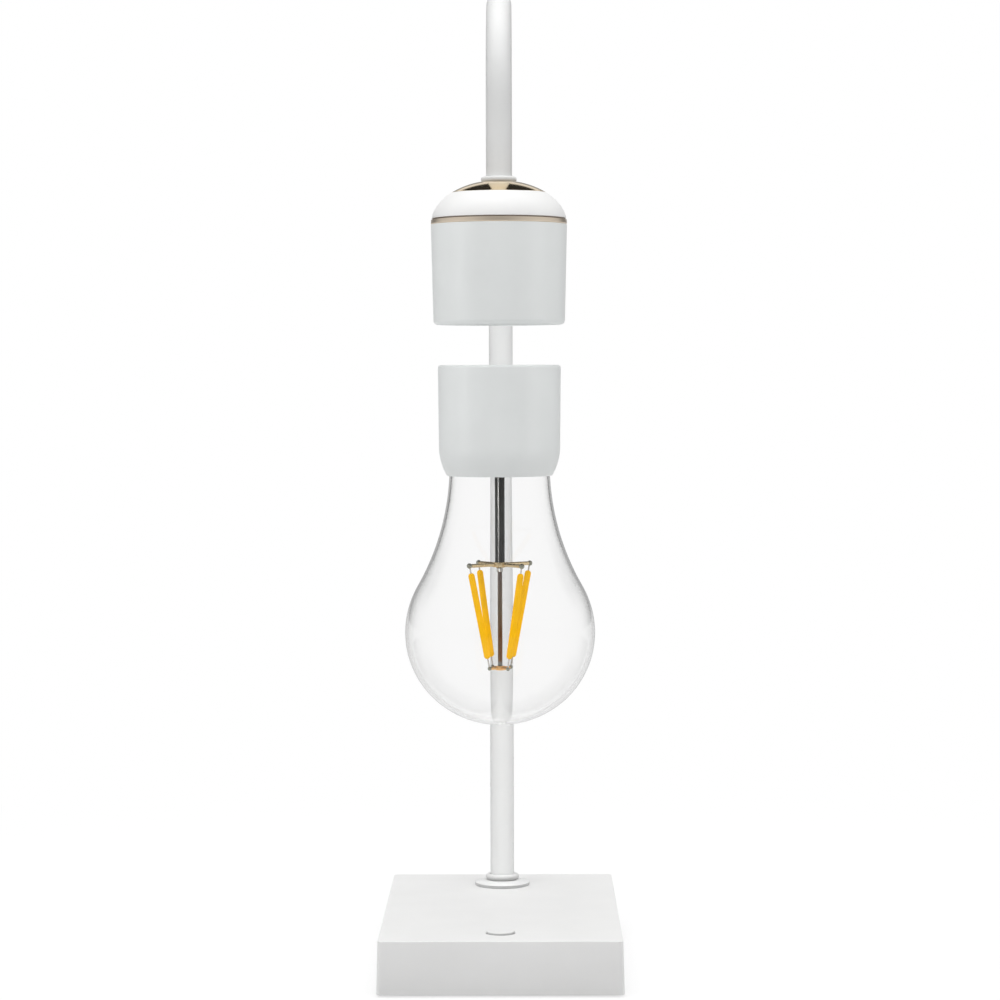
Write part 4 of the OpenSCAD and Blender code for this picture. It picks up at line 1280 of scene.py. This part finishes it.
def floor_finish():
    """Pale floor that looks white to the eye, keeps a soft shadow and is clear from below."""
    finish, tree = blank("Pale floor")
    rays, seen, mirrored = ray_kinds(tree)
    looked_at = of_two(tree, "MAXIMUM", seen, rays["Is Glossy Ray"])
    away = add(tree, "ShaderNodeVectorMath", {0: where(tree)}, operation="LENGTH")["Value"]
    glow = ranged(tree, away, start=0.10, end=0.40, least=0.70, smooth=True)
    matt = add(tree, "ShaderNodeBsdfDiffuse", {
        "Color": ranged(tree, looked_at, 0, 1, least=0.66, most=0.92)})["BSDF"]
    white = add(tree, "ShaderNodeEmission", {
        "Color": WHITE,
        "Strength": ranged(tree, mirrored, 0, 1, least=1.0, most=0.85)})["Emission"]
    top = mixed(tree, of_two(tree, "MULTIPLY", looked_at, glow), matt, white)
    below = add(tree, "ShaderNodeNewGeometry")["Backfacing"]
    clear = add(tree, "ShaderNodeBsdfTransparent")["BSDF"]
    add(tree, "ShaderNodeOutputMaterial", {"Surface": mixed(tree, below, top, clear)})
    return finish


def soft_box(name, place, target, width, height, power):
    """A soft box that looks at a point."""
    light = bpy.data.lights.new(name, "AREA")
    light.shape = "RECTANGLE"
    light.size, light.size_y = width, height
    light.energy = power
    lamp = put(name, light)
    lamp.location = place
    lamp.rotation_euler = (Vector(target) - Vector(place)).to_track_quat("-Z", "Y").to_euler()
    lamp.visible_camera = False
    lamp.visible_transmission = False
    return lamp


def list_pieces(lamp):
    """A list of pieces, empty at first, that a lamp treats apart."""
    lamp.light_linking.receiver_collection = bpy.data.collections.new(lamp.name + "_pieces")


def list_piece(piece, lamp):
    """Puts a piece on a lamp's list: the only ones it lights, unless they are excluded."""
    pieces = bpy.data.objects[lamp].light_linking.receiver_collection
    pieces.objects.link(piece)
    return pieces


def keep_sides_off(piece):
    """Keeps the light of the two side boxes off a piece."""
    for box in ("left_box", "right_box"):
        for entry in list_piece(piece, box).collection_objects:
            entry.light_linking.link_state = "EXCLUDE"


class LAMP_OT_studio(bpy.types.Operator):
    """Pale floor, soft boxes, surround and camera"""

    bl_idname = "lamp.studio"
    bl_label = "Studio"

    def execute(self, context):
        studio = context.scene.lamp_studio
        for name in ("Cube", "Light", "Camera"):
            spare = bpy.data.objects.get(name)
            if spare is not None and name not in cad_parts:
                bpy.data.objects.remove(spare)
        bm = bmesh.new()
        reach = 6
        bmesh.ops.create_grid(bm, x_segments=1, y_segments=1, size=reach)
        mesh = bpy.data.meshes.new("floor")
        bm.to_mesh(mesh)
        bm.free()
        mesh.materials.append(floor_finish())
        floor = put("floor", mesh)
        floor.location.z = CAD_BOX[0].z - 0.02 * MM
        floor.visible_glossy = False

        context.scene.world = studio_world(studio.ambient)
        middle = (0, -0.01, 0.15)
        top = soft_box("overhead", place=(0, -0.4, 3.1), target=(0, 0, 0.1), width=2.9,
                       height=2.9, power=studio.overhead)
        top.visible_glossy = False
        for name, side, power in (("left_box", -1, studio.left), ("right_box", 1, studio.right)):
            list_pieces(soft_box(name, place=(side * 1.1, -0.45, 0.24), target=middle, width=0.3,
                                 height=0.44, power=power))
        glint = soft_box("stem_glint", place=(-0.56, -0.85, 0.16), target=middle, width=0.45,
                         height=0.5, power=studio.glint)
        glint.data.cycles.use_multiple_importance_sampling = False
        list_pieces(glint)
        pole_y, fill_z = centre("pole_flange")[1], 0.12
        fill = soft_box("pole_fill", place=(0, -1.2, fill_z), target=(0, pole_y, fill_z),
                        width=0.1, height=0.26, power=studio.fill)
        fill.data.spread = math.radians(8)
        fill.data.use_shadow = False
        fill.visible_glossy = False
        list_pieces(fill)

        lens = bpy.data.cameras.new("camera")
        lens.sensor_fit = "HORIZONTAL"
        lens.sensor_width = 36
        lens.lens = studio.lens
        lens.clip_start, lens.clip_end = 0.01, 50
        eye = put("camera", lens)
        eye.location = studio.camera_place
        yaw, pitch = studio.camera_yaw, studio.camera_pitch
        ahead = Vector((math.sin(yaw) * math.cos(pitch), math.cos(yaw) * math.cos(pitch),
                        -math.sin(pitch)))
        roll = Matrix.Rotation(studio.camera_roll, 3, "Z")
        eye.rotation_euler = (ahead.to_track_quat("-Z", "Y").to_matrix() @ roll).to_euler()
        context.scene.camera = eye
        context.scene.view_settings.view_transform = "Standard"
        return {"FINISHED"}


class LAMP_PT_panel(bpy.types.Panel):
    """Sidebar list of the lamp's pieces"""

    bl_idname = "LAMP_PT_panel"
    bl_label = "Levitating lamp"
    bl_space_type = "VIEW_3D"
    bl_region_type = "UI"
    bl_category = "Lamp"

    def draw(self, context):
        column = self.layout.column(align=True)
        for step in STEPS:
            column.operator(step.bl_idname, text=step.bl_label)
        scene = context.scene
        for group in (scene.lamp_sizes, scene.lamp_colours, scene.lamp_studio):
            box = self.layout.box()
            for key in group.__annotations__:
                box.prop(group, key)


GROUPS = (LampSizes, LampColours, LampStudio)
STEPS = (LAMP_OT_studio, LAMP_OT_base, LAMP_OT_underside, LAMP_OT_button, LAMP_OT_tube,
         LAMP_OT_collars, LAMP_OT_head, LAMP_OT_cap, LAMP_OT_glass, LAMP_OT_cage,
         LAMP_OT_inner_finishes)


def register():
    for group in (*GROUPS, *STEPS, LAMP_PT_panel):
        bpy.utils.register_class(group)
    bpy.types.Scene.lamp_sizes = bpy.props.PointerProperty(type=LampSizes)
    bpy.types.Scene.lamp_colours = bpy.props.PointerProperty(type=LampColours)
    bpy.types.Scene.lamp_studio = bpy.props.PointerProperty(type=LampStudio)


def unregister():
    del bpy.types.Scene.lamp_studio
    del bpy.types.Scene.lamp_colours
    del bpy.types.Scene.lamp_sizes
    for group in reversed((*GROUPS, *STEPS, LAMP_PT_panel)):
        bpy.utils.unregister_class(group)


def main():
    register()
    bpy.ops.lamp.studio()
    bpy.ops.lamp.base()
    bpy.ops.lamp.underside()
    bpy.ops.lamp.button()
    bpy.ops.lamp.tube()
    bpy.ops.lamp.collars()
    bpy.ops.lamp.head()
    bpy.ops.lamp.cap()
    bpy.ops.lamp.glass()
    bpy.ops.lamp.cage()
    bpy.ops.lamp.inner_finishes()


if __name__ == "__main__":
    main()
